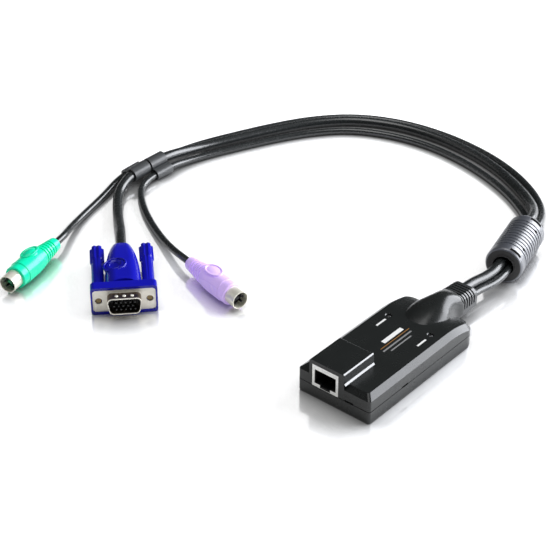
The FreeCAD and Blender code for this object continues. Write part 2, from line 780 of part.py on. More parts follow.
def lamps():
    """Two round lamps on the board whose domes sit just inside the holes of the top."""
    for place, label in zip(lamp_places(), ("online_lamp", "power_lamp")):
        top = size("top_height") - size("lamp_recess")
        radius = size("lamp_radius")
        foot = top - 6
        dome = Part.makeCylinder(radius, top - foot - radius * 0.6, V(place.x, place.y, foot))
        cap = Part.makeSphere(radius, V(place.x, place.y, 0))
        squash = FreeCAD.Matrix()
        squash.scale(1, 1, 0.6)
        cap = cap.transformGeometry(squash)
        cap.translate(V(0, 0, top - radius * 0.6))
        solid = dome.fuse(cap)
        for side in (-1, 1):
            at = V(place.x + side * size("lamp_lead_gap") / 2, place.y, size("board_top"))
            solid = solid.fuse(Part.makeCylinder(0.25, foot - size("board_top") + 0.5, at))
        shaped(label, solid)


def ferrite_place():
    """The ferrite lies on the floor, its axis turned a little from the housing's."""
    return FreeCAD.Placement(V(-3.0, 100.25, size("ferrite_radius")), FreeCAD.Rotation(V(0, 0, 1), 14.4))


def ferrite_cover():
    """The ferrite's plastic cover, a revolved shell with slots and round windows in its side."""
    body = doc.addObject("PartDesign::Body", "cover_body")
    profile = sketch_on(body, "YZ_Plane", "cover_profile")
    half = "(Sizes.ferrite_length / 2)"
    edge = "Sizes.ferrite_edge"
    outer = "Sizes.ferrite_radius"
    room = "(Sizes.ferrite_radius - Sizes.ferrite_wall)"
    shoulder = f"({half} - Sizes.ferrite_end)"
    face = f"({half} - Sizes.ferrite_ring_reach)"
    polygon(profile, [
        (f"-{half}", "Sizes.ferrite_bore"), (f"-{shoulder}", "Sizes.ferrite_bore"), (f"-{shoulder}", room),
        (shoulder, room), (shoulder, "Sizes.ferrite_bore"), (half, "Sizes.ferrite_bore"),
        (half, "Sizes.ferrite_ring"), (face, "Sizes.ferrite_ring"), (face, f"{outer} - {edge}"),
        (f"{face} - {edge} * 0.3", f"{outer} - {edge} * 0.3"), (f"{face} - {edge}", outer),
        (f"-{face} + {edge}", outer), (f"-{face} + {edge} * 0.3", f"{outer} - {edge} * 0.3"),
        (f"-{face}", f"{outer} - {edge}"), (f"-{face}", "Sizes.ferrite_ring"), (f"-{half}", "Sizes.ferrite_ring"),
    ])
    turned = body.newObject("PartDesign::Revolution", "cover_turned")
    turned.Profile = profile
    turned.ReferenceAxis = (profile, ["H_Axis"])
    turned.Angle = 360
    body.Tip = turned
    doc.recompute()
    plain = turned.Shape.Volume
    ring = sketch_on(body, "YZ_Plane", "cover_rib_gap")
    first = "(-Sizes.ferrite_rib_pitch * (Sizes.ferrite_rib_count - 1) / 2)"
    floor = "(Sizes.ferrite_radius - Sizes.ferrite_rib_depth)"
    polygon(ring, [
        (f"{first} - Sizes.ferrite_rib_gap / 2", floor), (f"{first} + Sizes.ferrite_rib_gap / 2", floor),
        (f"{first} + Sizes.ferrite_rib_gap / 2", f"{outer} + 1"), (f"{first} - Sizes.ferrite_rib_gap / 2", f"{outer} + 1"),
    ])
    groove = body.newObject("PartDesign::Groove", "cover_groove")
    groove.Profile = ring
    groove.ReferenceAxis = (ring, ["H_Axis"])
    groove.Angle = 360
    body.Tip = groove
    doc.recompute()
    row = body.newObject("PartDesign::LinearPattern", "cover_grooves")
    row.Originals = [groove]
    row.Direction = (ring, ["H_Axis"])
    row.setExpression("Length", "Sizes.ferrite_rib_pitch * (Sizes.ferrite_rib_count - 1)")
    row.setExpression("Occurrences", "Sizes.ferrite_rib_count")
    body.Tip = row
    doc.recompute()
    grooved = row.Shape.Volume
    if not grooved < plain - 1:
        raise ValueError("the cover has no grooves")
    for side in (-1, 1):
        window(body, f"cover_slot_{side + 1}", "ferrite_slot_turn", [
            (f"{across} * Sizes.ferrite_slot_span / 2",
             f"{side} * Sizes.ferrite_slot_place + {along} * Sizes.ferrite_slot_width / 2")
            for across, along in ((-1, -1), (1, -1), (1, 1), (-1, 1))])
        window(body, f"cover_dot_{side + 1}", "ferrite_dot_turn",
               ("Sizes.ferrite_dot_radius", "0", f"{side} * Sizes.ferrite_dot_place"))
    if not body.Tip.Shape.Volume < grooved - 1:
        raise ValueError("the cover has no windows")
    body.Placement = ferrite_place()
    keep(body, "ferrite_cover")


def window(body, name, turn, form):
    """An opening through the side of the ferrite's cover, at an angle from its top."""
    frame = sketch_on(body, "XY_Plane", name + "_outline")
    lean = FreeCAD.Rotation(V(0, 1, 0), size(turn))
    frame.AttachmentOffset = FreeCAD.Placement(lean.multVec(V(0, 0, size("ferrite_radius") + 1)), lean)
    if isinstance(form, tuple):
        circle(frame, *form)
    else:
        polygon(frame, form)
    cut = body.newObject("PartDesign::Pocket", name)
    cut.Profile = frame
    cut.Type = 0
    cut.setExpression("Length", "Sizes.ferrite_wall + 1.6")
    body.Tip = cut
    doc.recompute()


def ferrite_core():
    """The ferrite itself, a thick sleeve inside the cover."""
    length = size("ferrite_length") - 2 * size("ferrite_end") - 2 * size("core_clearance")
    outer = size("ferrite_radius") - size("ferrite_wall") - size("core_clearance")
    inner = size("ferrite_bore") + size("core_clearance")
    start = V(0, -length / 2, 0)
    sleeve = Part.makeCylinder(outer, length, start, V(0, 1, 0))
    bore = Part.makeCylinder(inner, length, start, V(0, 1, 0))
    shaped("ferrite_core", sleeve.cut(bore), ferrite_place())


def runs_and_arcs(points):
    """A path of straight runs joined by tangent arcs, each as large as its two runs allow."""
    places = [V(*point) for point in points]
    edges = []
    radii = []
    start = places[0]
    for before, here, after in zip(places, places[1:], places[2:]):
        back = before.sub(here)
        ahead = after.sub(here)
        turn = math.pi - back.getAngle(ahead)
        reach = 0.45 * min(back.Length, ahead.Length)
        radius = reach / math.tan(turn / 2)
        back.normalize()
        ahead.normalize()
        inward = back + ahead
        inward.normalize()
        first = here + back * reach
        last = here + ahead * reach
        middle = here + inward * (radius / math.cos(turn / 2) - radius)
        edges += [Part.LineSegment(start, first).toShape(), Part.Arc(first, middle, last).toShape()]
        radii.append(radius)
        start = last
    edges.append(Part.LineSegment(start, places[-1]).toShape())
    return Part.Wire(edges), radii


def cable(label, points, diameter):
    """A plain round tube along a route, with its volume checked against its length."""
    path, radii = runs_and_arcs(points)
    direction = V(*points[1]).sub(V(*points[0]))
    section = Part.Wire(Part.makeCircle(diameter / 2, V(*points[0]), direction))
    solid = path.makePipeShell([section], True, False)
    whole = math.pi * diameter ** 2 / 4 * path.Length
    print(f"{label}: length {path.Length:.1f}, smallest radius {min(radii):.1f}, "
          f"volume ratio {solid.Volume / whole:.4f}")
    print("  radii", " ".join(f"{radius:.0f}" for radius in radii))
    if abs(solid.Volume / whole - 1) > 0.01:
        raise ValueError(f"{label} has the wrong volume")
    shaped(label, solid)


def frame_at(origin, angle):
    """A place on the floor's plan turned about the vertical."""
    return FreeCAD.Placement(V(*origin), FreeCAD.Rotation(V(0, 0, 1), angle))


PLUG_HEIGHT = size("plug_radius")
VIDEO_ANGLE = 46.6
VIDEO_PLACE = frame_at((-124.4, -59.3, size("hood_height") / 2), VIDEO_ANGLE)
MOUSE_BOOT = (-189.0, -44.8, PLUG_HEIGHT)
MOUSE_ANGLE = 13.0
KEYBOARD_BOOT = (-123.5, -12.75, PLUG_HEIGHT)
KEYBOARD_ANGLE = 78.0

# Each cable's route from the strain relief's end face to the end face of its plug
VIDEO_ROUTE = [
    (-1.1, 51.5, 10.65), (-1.1, 58.3, 10.65), (0.9, 68.5, 10.15), (1.3, 77.5, 10.95),
    (-1.0, 87.7, 11.7), (-4.8, 102.7, 11.8), (-9.0, 118.7, 11.55), (-13.3, 132.8, 9.4),
    (-20.0, 144.2, 6.2), (-29.6, 153.9, 3.8), (-42.5, 162.6, 2.85), (-60.5, 171.6, 2.75),
    (-82.0, 177.8, 2.75), (-108.0, 180.2, 2.75), (-134.5, 176.6, 2.75), (-157.5, 165.4, 2.75),
    (-173.5, 148.0, 2.75), (-184.5, 128.5, 2.75), (-194.0, 107.5, 2.75), (-202.4, 87.5, 2.95),
    (-206.0, 71.5, 4.9), (-206.8, 55.2, 7.6), (-207.8, 43.0, 6.9), (-208.8, 31.2, 5.8),
    (-207.0, 22.9, 4.0), (-203.0, 15.4, 3.0), (-197.4, 9.1, 2.75), (-190.2, 1.9, 2.8),
    (-181.6, -5.8, 4.0), (-172.9, -13.3, 6.2), (-165.451, -20.479, 7.75), (-157.459, -28.037, 7.75),
]
KEYBOARD_ROUTE = [
    (-0.7, 51.5, 5.95), (-0.7, 58.3, 5.95), (1.3, 68.5, 5.45), (1.7, 77.5, 6.25),
    (-0.64, 87.8, 7.0), (-4.45, 102.8, 7.1), (-8.6, 118.8, 6.75), (-13.6, 131.0, 3.9),
    (-21.2, 139.6, 2.1), (-31.5, 147.6, 1.9), (-45.0, 155.6, 1.9), (-63.0, 163.0, 1.9),
    (-84.0, 168.4, 1.9), (-107.0, 170.2, 1.9), (-130.5, 166.4, 1.9), (-152.0, 156.4, 1.9),
    (-166.5, 141.0, 1.9), (-178.0, 122.0, 1.9), (-187.5, 101.5, 1.9), (-195.6, 82.5, 1.9),
    (-200.3, 67.0, 2.5), (-201.4, 54.8, 3.85), (-202.4, 42.6, 3.15), (-201.6, 34.5, 2.2),
    (-197.6, 27.0, 1.9), (-190.4, 20.3, 1.9), (-179.5, 12.4, 1.9), (-166.5, 4.9, 1.95),
    (-152.7, -2.0, 2.7), (-140.6, -7.6, 4.7), (-129.858, -11.399, 6.25), (-123.5, -12.75, 6.25),
]
MOUSE_ROUTE = [
    (3.1, 51.5, 8.25), (3.1, 58.3, 8.25), (5.2, 68.5, 7.75), (5.5, 77.5, 8.5),
    (3.05, 88.7, 9.3), (-0.85, 103.8, 9.4), (-4.9, 119.7, 9.15), (-9.0, 133.6, 6.8),
    (-15.2, 146.0, 4.0), (-24.4, 157.6, 2.2), (-38.0, 168.2, 1.9), (-57.5, 178.0, 1.9),
    (-81.0, 184.4, 1.9), (-108.5, 186.6, 1.9), (-137.0, 182.4, 1.9), (-161.5, 170.2, 1.9),
    (-178.5, 151.5, 1.9), (-190.0, 131.0, 1.9), (-199.5, 109.5, 1.9), (-208.0, 88.5, 1.9),
    (-212.2, 72.0, 1.9), (-213.0, 57.0, 2.6), (-213.8, 43.8, 4.2), (-214.8, 31.4, 3.1),
    (-214.0, 24.2, 2.2), (-211.2, 16.0, 1.9), (-207.9, 5.6, 1.9), (-204.6, -6.2, 1.9),
    (-200.8, -17.6, 2.6), (-195.6, -28.8, 4.5), (-190.656, -37.628, 6.25), (-189.0, -44.8, 6.25),
]


def clip(label, middle, yaw, pitch, side, drop):
    """A moulded clip of two sleeves side by side: a wide one and, lower on one side, a thin one."""
    length, wall, clearance = size("clip_length"), size("clip_wall"), size("clip_clearance")
    spacing = size("clip_spacing")
    across = side * math.sqrt(spacing ** 2 - drop ** 2)
    outer = []
    bores = []
    for diameter, x, z in ((size("video_cable_diameter"), 0.0, 0.0),
                           (size("thin_cable_diameter"), across, -drop)):
        bore = diameter / 2 + clearance
        start = V(x, -length / 2, z)
        outer.append(Part.makeCylinder(bore + wall, length, start, V(0, 1, 0)))
        bores.append(Part.makeCylinder(bore, length, start, V(0, 1, 0)))
    solid = outer[0].fuse(outer[1]).cut(bores)
    turn = FreeCAD.Rotation(V(0, 0, 1), yaw).multiply(FreeCAD.Rotation(V(1, 0, 0), pitch))
    shaped(label, solid, FreeCAD.Placement(V(*middle), turn))


def rounded_box(width, height, radius, start, end):
    """A block across Y with rounded corners, centred on the plug's axis."""
    solid = block_between(V(-width / 2, start, -height / 2), V(width / 2, end, height / 2))
    along = [edge for edge in solid.Edges if abs(edge.tangentAt(edge.FirstParameter).y) > 0.9]
    return solid.makeFillet(radius, along)


def rounded_wire(width, height, radius, y):
    """The outline of a rounded block at one place along the plug's axis."""
    solid = rounded_box(width, height, radius, y, y + 1)
    face = min(solid.Faces, key=lambda side: side.CenterOfMass.y)
    return face.OuterWire


def shell_outline(inset, y):
    """The video connector's D outline, wide at the top, drawn in by inset."""
    tall = size("shell_tall") / 2
    lean = math.radians(size("shell_slope"))
    wide = size("shell_wide") / 2
    narrow = wide - 2 * tall * math.tan(lean)
    corners = [V(-wide, y, tall), V(wide, y, tall), V(narrow, y, -tall), V(-narrow, y, -tall)]
    block = Part.Face(Part.makePolygon(corners + corners[:1])).extrude(V(0, 1, 0))
    along = [edge for edge in block.Edges if abs(edge.tangentAt(edge.FirstParameter).y) > 0.9]
    rounded = block.makeFillet(size("shell_round"), along)
    face = min(rounded.Faces, key=lambda side: side.CenterOfMass.y)
    if inset:
        return face.OuterWire.makeOffset2D(-inset)
    return face.OuterWire


def d_block(inset, start, end):
    """A block of the connector's D outline between two places on the axis."""
    return Part.Face(shell_outline(inset, start)).extrude(V(0, end - start, 0))


def pad(place, aside, height, turn, half_width, half_length, rise, dish):
    """A raised oval thumb pad with a dished middle: the button and the hollow cut into it."""
    forms = []
    for wide, long, tall, lift in ((half_width, half_length, rise * 2, -rise),
                                   (half_width * 0.72, half_length * 0.72, dish * 2, rise + dish * 0.45)):
        ball = Part.makeSphere(1)
        stretch = FreeCAD.Matrix()
        stretch.scale(wide, long, tall)
        ball = ball.transformGeometry(stretch)
        ball.translate(V(0, 0, lift))
        ball.rotate(V(0, 0, 0), V(0, 1, 0), turn)
        ball.translate(V(aside, place, height))
        forms.append(ball)
    return forms


def video_hood():
    """The moulded hood: a block round the flange, and an arched dome that narrows to the cable."""
    base = size("hood_base")
    solid = rounded_box(size("hood_width"), size("hood_height"), size("hood_round"), -size("hood_lip"), base)
    start = base - 1
    length = size("hood_length") - start
    sections = []
    for place, narrowing in ((0.0, 0.0), (0.3, 0.05), (0.52, 0.15), (0.7, 0.32), (0.87, 0.62), (1.0, 1.0)):
        width = size("dome_width") - (size("dome_width") - size("dome_end_width")) * narrowing
        height = size("dome_height") - (size("dome_height") - size("dome_end_height")) * narrowing ** 0.9
        sections.append(rounded_wire(width, height, height * 0.4, start + length * place))
    dome = Part.makeLoft(sections, True, False)
    share = size("pad_aside") / (size("dome_width") / 2)
    top = size("dome_height") / 2 * (1 - 0.12 - 0.28 * share ** 2)
    button, hollow = pad(size("pad_place"), -size("pad_aside"), top, -math.degrees(share) * 0.55,
                         size("pad_half_width"), size("pad_half_length"), size("pad_rise"), size("pad_dish"))
    reach, half = size("crescent_reach"), size("crescent_half")
    bow = (reach ** 2 + half ** 2) / (2 * reach)
    crescent = Part.makeCylinder(bow, size("hood_height"),
                                 V(0, base + reach - bow, size("dome_height") / 2 - size("crescent_depth")))
    crescent = crescent.common(block_between(V(-half, base, 0), V(half, base + reach, size("hood_height"))))
    solid = solid.fuse([dome, button]).cut([hollow, crescent])
    pocket = rounded_box(size("flange_width") + 0.1, size("flange_height") + 0.1, size("flange_round"),
                         -size("hood_lip") - 1, size("flange_thickness"))
    room = d_block(0.7, 0, base - 1.2)
    holes = []
    for side in (-1, 1):
        at = V(side * size("screw_spacing") / 2, -2, 0)
        holes.append(Part.makeCylinder(size("screw_hole_radius"), base + 4, at, V(0, 1, 0)))
    solid = solid.cut([pocket, room] + holes)
    shaped("video_hood", solid.removeSplitter(), VIDEO_PLACE)


def video_shell():
    """The connector's metal: a flange with two screw holes and the drawn D shell."""
    thick = size("flange_thickness")
    skin = size("shell_thickness")
    flange = rounded_box(size("flange_width"), size("flange_height"), size("flange_round"), 0, thick)
    drawn = d_block(0, -size("shell_reach"), 0.3)
    solid = flange.fuse(drawn).cut(d_block(skin, -size("shell_reach") - 1, thick + 1))
    for step in (-1, 0, 1):
        at = V(step * size("dimple_pitch"), -size("dimple_place"), size("shell_tall") / 2 + size("dimple_radius") * 0.5)
        solid = solid.cut(Part.makeSphere(size("dimple_radius"), at))
    for side in (-1, 1):
        at = V(side * size("screw_spacing") / 2, -1, 0)
        solid = solid.cut(Part.makeCylinder(size("screw_hole_radius"), thick + 2, at, V(0, 1, 0)))
    shaped("video_shell", solid.removeSplitter(), VIDEO_PLACE)


def video_insulator():
    """The black block that carries the pins, set back inside the shell."""
    solid = d_block(size("shell_thickness") + 0.05, -0.5, size("flange_thickness"))
    solid = solid.fuse(d_block(0.75, 0, size("hood_base") - 1.4))
    shaped("video_insulator", solid.cut(pin_solids(0.0)).removeSplitter(), VIDEO_PLACE)


def pin_solids(shorten):
    """The connector's pins in three rows of five, the middle row half a pitch aside."""
    pins = []
    start = -0.5 - size("pin_reach") + shorten
    for row in (1, 0, -1):
        for column in range(5):
            aside = -0.25 if row == 0 else 0.25
            across = (column - 2 + aside) * size("pin_pitch")
            at = V(across, start, row * size("pin_row_pitch"))
            pins.append(Part.makeCylinder(size("pin_radius"), size("pin_reach") + 2.5, at, V(0, 1, 0)))
    return pins


def video_pins():
    """The pins, seated in the insulator."""
    shaped("video_pins", Part.makeCompound(pin_solids(0.0)), VIDEO_PLACE)


def thumbscrews():
    """Two long thumbscrews beside the dome: a fluted sleeve and knob on a steel screw."""
    for side, name in ((-1, "left"), (1, "right")):
        place = VIDEO_PLACE.multiply(FreeCAD.Placement(V(side * size("screw_spacing") / 2, 0, 0),
                                                       FreeCAD.Rotation()))
        knob_body(name, place)
        shank = Part.makeCylinder(size("screw_radius"), size("screw_length"), V(0, size("screw_recess"), 0),
                                  V(0, 1, 0))
        shaped(f"{name}_screw", shank, place)


def knob_body(name, place):
    """One thumbscrew's sleeve and knob, turned from a profile and fluted in a ring."""
    body = doc.addObject("PartDesign::Body", name + "_knob_body")
    profile = sketch_on(body, "YZ_Plane", name + "_knob_profile")
    begin = "(Sizes.hood_base + Sizes.knob_gap)"
    inner = "(Sizes.screw_radius)"
    end = "(Sizes.screw_recess + Sizes.screw_length)"
    polygon(profile, [
        (begin, inner), (end, inner), (end, "0"), ("Sizes.knob_end - Sizes.knob_crown", "0"),
        ("Sizes.knob_end - Sizes.knob_crown", "Sizes.knob_radius / 2"), ("Sizes.knob_end", "Sizes.knob_radius / 2"),
        ("Sizes.knob_end", "Sizes.knob_radius - Sizes.knob_edge"),
        ("Sizes.knob_end - Sizes.knob_edge", "Sizes.knob_radius"),
        ("Sizes.knob_start + Sizes.knob_shoulder", "Sizes.knob_radius"),
        ("Sizes.knob_start", "Sizes.sleeve_end_radius"),
        (begin, "Sizes.sleeve_radius"),
    ])
    turned = body.newObject("PartDesign::Revolution", name + "_knob_turned")
    turned.Profile = profile
    turned.ReferenceAxis = (profile, ["H_Axis"])
    turned.Angle = 360
    body.Tip = turned
    doc.recompute()
    flute = sketch_on(body, "XZ_Plane", name + "_flute_outline")
    circle(flute, "Sizes.knob_flute_radius", "0",
           "Sizes.knob_radius + Sizes.knob_flute_radius - Sizes.knob_flute_depth")
    pocket = body.newObject("PartDesign::Pocket", name + "_flute")
    pocket.Profile = flute
    pocket.Type = 0
    pocket.setExpression("Length", "Sizes.knob_end + 1")
    body.Tip = pocket
    doc.recompute()
    ring = body.newObject("PartDesign::PolarPattern", name + "_flutes")
    ring.Originals = [pocket]
    ring.Axis = (flute, ["N_Axis"])
    ring.Angle = 360
    ring.setExpression("Occurrences", "Sizes.knob_flutes")
    body.Tip = ring
    doc.recompute()
    if not ring.Shape.Volume < turned.Shape.Volume - 1:
        raise ValueError(name + " knob has no flutes")
    body.Placement = place
    keep(body, name + "_knob")


def plug_frame(boot, angle):
    """A round plug's frame: its origin where the metal shell leaves the body, +Y to the cable."""
    back = V(-math.sin(math.radians(angle)), math.cos(math.radians(angle)), 0)
    root = V(*boot).sub(back * size("plug_length"))
    return FreeCAD.Placement(root, FreeCAD.Rotation(V(0, 0, 1), angle))


def plug_profile():
    """Half the outline of a round plug's body: collar, step, grip, tapering neck and ribbed boot."""
    length, radius = size("plug_length"), size("plug_radius")
    neck, neck_radius, boot_radius = size("plug_neck"), size("plug_neck_radius"), size("plug_boot_radius")
    collar, drop = size("plug_collar_length"), size("plug_collar_drop")
    gap, deep, pitch = size("plug_rib_gap"), size("plug_rib_depth"), size("plug_rib_pitch")

    def taper_at(y):
        return neck_radius + (boot_radius - neck_radius) * (y - neck) / (length - neck)

    corners = [(0, 0), (0, radius - 2 * drop), (drop, radius - drop), (collar, radius - drop),
               (collar + drop, radius), (size("plug_grip_end"), radius)]
    swell = Part.BSplineCurve()
    swell.interpolate([V(0, size("plug_grip_end"), radius),
                       V(0, (size("plug_grip_end") + neck) / 2, radius - (radius - neck_radius) * 0.4),
                       V(0, neck, neck_radius)])
    rest = [(neck, neck_radius)]
    for k in range(int(size("plug_rib_count"))):
        start = neck + 0.6 + k * pitch
        rest += [(start, taper_at(start)), (start + gap * 0.25, taper_at(start) - deep),
                 (start + gap, taper_at(start + gap) - deep), (start + gap * 1.1, taper_at(start + gap))]
    rest += [(length, boot_radius), (length, 0)]
    edges = [Part.makeLine(V(0, *a), V(0, *b)) for a, b in zip(corners, corners[1:])]
    edges.append(swell.toShape())
    edges += [Part.makeLine(V(0, *a), V(0, *b)) for a, b in zip(rest, rest[1:] + corners[:1])]
    return Part.Face(Part.Wire(edges))


def round_plug(name, boot, angle, pad_turn):
    """A round plug: moulded body with a thumb pad and a ribbed boot, metal shell, insert and six pins."""
    place = plug_frame(boot, angle)
    radius, clear = size("plug_radius"), size("plug_clearance")
    shell_radius, skin = size("plug_shell_radius"), size("plug_shell_wall")
    reach, seat = size("plug_shell_reach"), size("plug_seat")
    body = plug_profile().revolve(V(0, 0, 0), V(0, 1, 0), 360)
    lift = math.radians(pad_turn)
    height = radius - size("plug_pad_half_width") ** 2 / (2 * radius) * 0.55
    button, hollow = pad(size("plug_pad_place"), math.sin(lift) * height, math.cos(lift) * height, pad_turn,
                         size("plug_pad_half_width"), size("plug_pad_half_length"),
                         size("plug_pad_rise"), size("plug_pad_dish"))
    start = size("plug_collar_length") + size("plug_collar_drop")
    flats = [block_between(V(size("plug_flat"), start, -radius), V(radius + 1, size("plug_neck"), radius)),
             block_between(V(-radius - 1, start, -radius), V(-size("plug_flat"), size("plug_neck"), radius))]
    room = Part.makeCylinder(shell_radius, seat + 1, V(0, -1, 0), V(0, 1, 0))
    body = body.fuse(button).cut([hollow, room] + flats)
    shaped(name + "_plug_body", body.removeSplitter(), place)
    depth = seat - 10 * clear
    shell = Part.makeCylinder(shell_radius - clear, reach + depth, V(0, -reach, 0), V(0, 1, 0))
    shell = shell.cut(Part.makeCylinder(shell_radius - skin, reach + depth + 2, V(0, -reach - 1, 0), V(0, 1, 0)))
    shaped(name + "_plug_shell", shell, place)
    insert_face = -reach + size("plug_insert_recess")
    block_face = insert_face + reach * 0.35
    insert = Part.makeCylinder(shell_radius - skin - clear, depth - block_face, V(0, block_face, 0), V(0, 1, 0))
    insert = insert.fuse(block_between(V(-1.1, insert_face, -0.6), V(1.1, block_face + 0.5, 0.8)))
    pins = []
    for angle_of_pin in (40, 80, 140, 220, 280, 320):
        turn = math.radians(angle_of_pin)
        at = V(math.sin(turn) * size("plug_pin_circle"), -reach + size("plug_pin_recess"),
               math.cos(turn) * size("plug_pin_circle"))
        pins.append(Part.makeCylinder(size("plug_pin_radius"), reach, at, V(0, 1, 0)))
    shaped(name + "_plug_insert", insert.cut(pins), place)
    shaped(name + "_plug_pins", Part.makeCompound(pins), place)


def build():
    """Makes every sub-part."""
    housing_top()
    housing_bottom()
    strain_relief()
    circuit_board()
    board_parts()
    lead_wires()
    jack_shield()
    jack_insert()
    jack_contacts()
    lamps()
    ferrite_cover()
    ferrite_core()
    clip("upper_clip", (-207.3, 49.1, 7.25), -4.7, 3.3, 1, 3.75)
    clip("lower_clip", (-208.3, 37.1, 6.35), -4.84, 5.3, -1, 2.7)
    cable("video_cable", VIDEO_ROUTE, size("video_cable_diameter"))
    cable("keyboard_cable", KEYBOARD_ROUTE, size("thin_cable_diameter"))
    cable("mouse_cable", MOUSE_ROUTE, size("thin_cable_diameter"))
    video_hood()
    video_shell()
    video_insulator()
    video_pins()
    thumbscrews()
    round_plug("mouse", MOUSE_BOOT, MOUSE_ANGLE, -12)
    round_plug("keyboard", KEYBOARD_BOOT, KEYBOARD_ANGLE, 0)
    doc.recompute()


def check():
    """Stops on an object that failed, or on a sub-part without a sound solid."""
    for thing in doc.Objects:
        if "Invalid" in thing.State or "Error" in thing.State:
            raise ValueError(f"{thing.Label} failed: {thing.State}")
    for piece in pieces:
        shape = piece.Shape
        if shape.isNull() or not shape.isValid() or not shape.Solids:
            raise ValueError(f"{piece.Label} has no sound solid")


def export():
    """Writes each sub-part to a file under its own name."""
    os.makedirs("parts", exist_ok=True)
    for piece in pieces:
        piece.Shape.exportStep(f"parts/{piece.Label}.step")


build()
check()
export()
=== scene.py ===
"""A keyboard, video and mouse dongle.

A small black housing with a network jack, whose video, keyboard and mouse cables run
through a ferrite and two clips to their plugs. Lengths in the tables are in mm."""

import math

import bmesh
import bpy
from bpy.props import FloatProperty, FloatVectorProperty, PointerProperty
from bpy.types import Operator, Panel, PropertyGroup
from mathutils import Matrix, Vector


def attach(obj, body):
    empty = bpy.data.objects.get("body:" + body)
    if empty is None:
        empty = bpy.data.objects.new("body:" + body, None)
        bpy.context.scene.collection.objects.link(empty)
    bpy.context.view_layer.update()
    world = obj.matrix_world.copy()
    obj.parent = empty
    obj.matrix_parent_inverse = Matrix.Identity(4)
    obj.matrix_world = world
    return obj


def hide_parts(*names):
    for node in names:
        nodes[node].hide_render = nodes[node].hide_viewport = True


bl_info = {
    "name": "KVM Dongle",
    "version": (1, 0, 0),
    "blender": (4, 5, 0),
    "location": "View3D > Sidebar > Dongle",
    "description": "Dresses the packed housing, network jack, cables and plugs",
    "category": "Object",
}

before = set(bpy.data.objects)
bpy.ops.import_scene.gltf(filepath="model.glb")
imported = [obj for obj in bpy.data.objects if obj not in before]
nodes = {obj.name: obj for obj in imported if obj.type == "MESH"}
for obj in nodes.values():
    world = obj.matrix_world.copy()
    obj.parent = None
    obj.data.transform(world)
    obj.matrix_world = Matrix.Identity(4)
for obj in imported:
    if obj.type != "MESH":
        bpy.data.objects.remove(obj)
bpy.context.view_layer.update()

MM = 0.001

# The points that each cable passes, from inside the housing to its plug.
VIDEO_ROUTE = (
    (-1.1, 51.5, 10.65), (-1.1, 58.3, 10.65), (0.9, 68.5, 10.15),
    (1.3, 77.5, 10.95), (-1.0, 87.7, 11.7), (-4.8, 102.7, 11.8),
    (-9.0, 118.7, 11.55), (-13.3, 132.8, 9.4), (-20.0, 144.2, 6.2),
    (-29.6, 153.9, 3.8), (-42.5, 162.6, 2.85), (-60.5, 171.6, 2.75),
    (-82.0, 177.8, 2.75), (-108.0, 180.2, 2.75), (-134.5, 176.6, 2.75),
    (-157.5, 165.4, 2.75), (-173.5, 148.0, 2.75), (-184.5, 128.5, 2.75),
    (-194.0, 107.5, 2.75), (-202.4, 87.5, 2.95), (-206.0, 71.5, 4.9),
    (-206.8, 55.2, 7.6), (-207.8, 43.0, 6.9), (-208.8, 31.2, 5.8),
    (-207.0, 22.9, 4.0), (-203.0, 15.4, 3.0), (-197.4, 9.1, 2.75),
    (-190.2, 1.9, 2.8), (-181.6, -5.8, 4.0), (-172.9, -13.3, 6.2),
    (-165.451, -20.479, 7.75), (-157.459, -28.037, 7.75),
)  # fmt: skip
KEYBOARD_ROUTE = (
    (-0.7, 51.5, 5.95), (-0.7, 58.3, 5.95), (1.3, 68.5, 5.45),
    (1.7, 77.5, 6.25), (-0.64, 87.8, 7.0), (-4.45, 102.8, 7.1),
    (-8.6, 118.8, 6.75), (-13.6, 131.0, 3.9), (-21.2, 139.6, 2.1),
    (-31.5, 147.6, 1.9), (-45.0, 155.6, 1.9), (-63.0, 163.0, 1.9),
    (-84.0, 168.4, 1.9), (-107.0, 170.2, 1.9), (-130.5, 166.4, 1.9),
    (-152.0, 156.4, 1.9), (-166.5, 141.0, 1.9), (-178.0, 122.0, 1.9),
    (-187.5, 101.5, 1.9), (-195.6, 82.5, 1.9), (-200.3, 67.0, 2.5),
    (-201.4, 54.8, 3.85), (-202.4, 42.6, 3.15), (-201.6, 34.5, 2.2),
    (-197.6, 27.0, 1.9), (-190.4, 20.3, 1.9), (-179.5, 12.4, 1.9),
    (-166.5, 4.9, 1.95), (-152.7, -2.0, 2.7), (-140.6, -7.6, 4.7),
    (-129.858, -11.399, 6.25), (-123.5, -12.75, 6.25),
)  # fmt: skip
MOUSE_ROUTE = (
    (3.1, 51.5, 8.25), (3.1, 58.3, 8.25), (5.2, 68.5, 7.75),
    (5.5, 77.5, 8.5), (3.05, 88.7, 9.3), (-0.85, 103.8, 9.4),
    (-4.9, 119.7, 9.15), (-9.0, 133.6, 6.8), (-15.2, 146.0, 4.0),
    (-24.4, 157.6, 2.2), (-38.0, 168.2, 1.9), (-57.5, 178.0, 1.9),
    (-81.0, 184.4, 1.9), (-108.5, 186.6, 1.9), (-137.0, 182.4, 1.9),
    (-161.5, 170.2, 1.9), (-178.5, 151.5, 1.9), (-190.0, 131.0, 1.9),
    (-199.5, 109.5, 1.9), (-208.0, 88.5, 1.9), (-212.2, 72.0, 1.9),
    (-213.0, 57.0, 2.6), (-213.8, 43.8, 4.2), (-214.8, 31.4, 3.1),
    (-214.0, 24.2, 2.2), (-211.2, 16.0, 1.9), (-207.9, 5.6, 1.9),
    (-204.6, -6.2, 1.9), (-200.8, -17.6, 2.6), (-195.6, -28.8, 4.5),
    (-190.656, -37.628, 6.25), (-189.0, -44.8, 6.25),
)  # fmt: skip

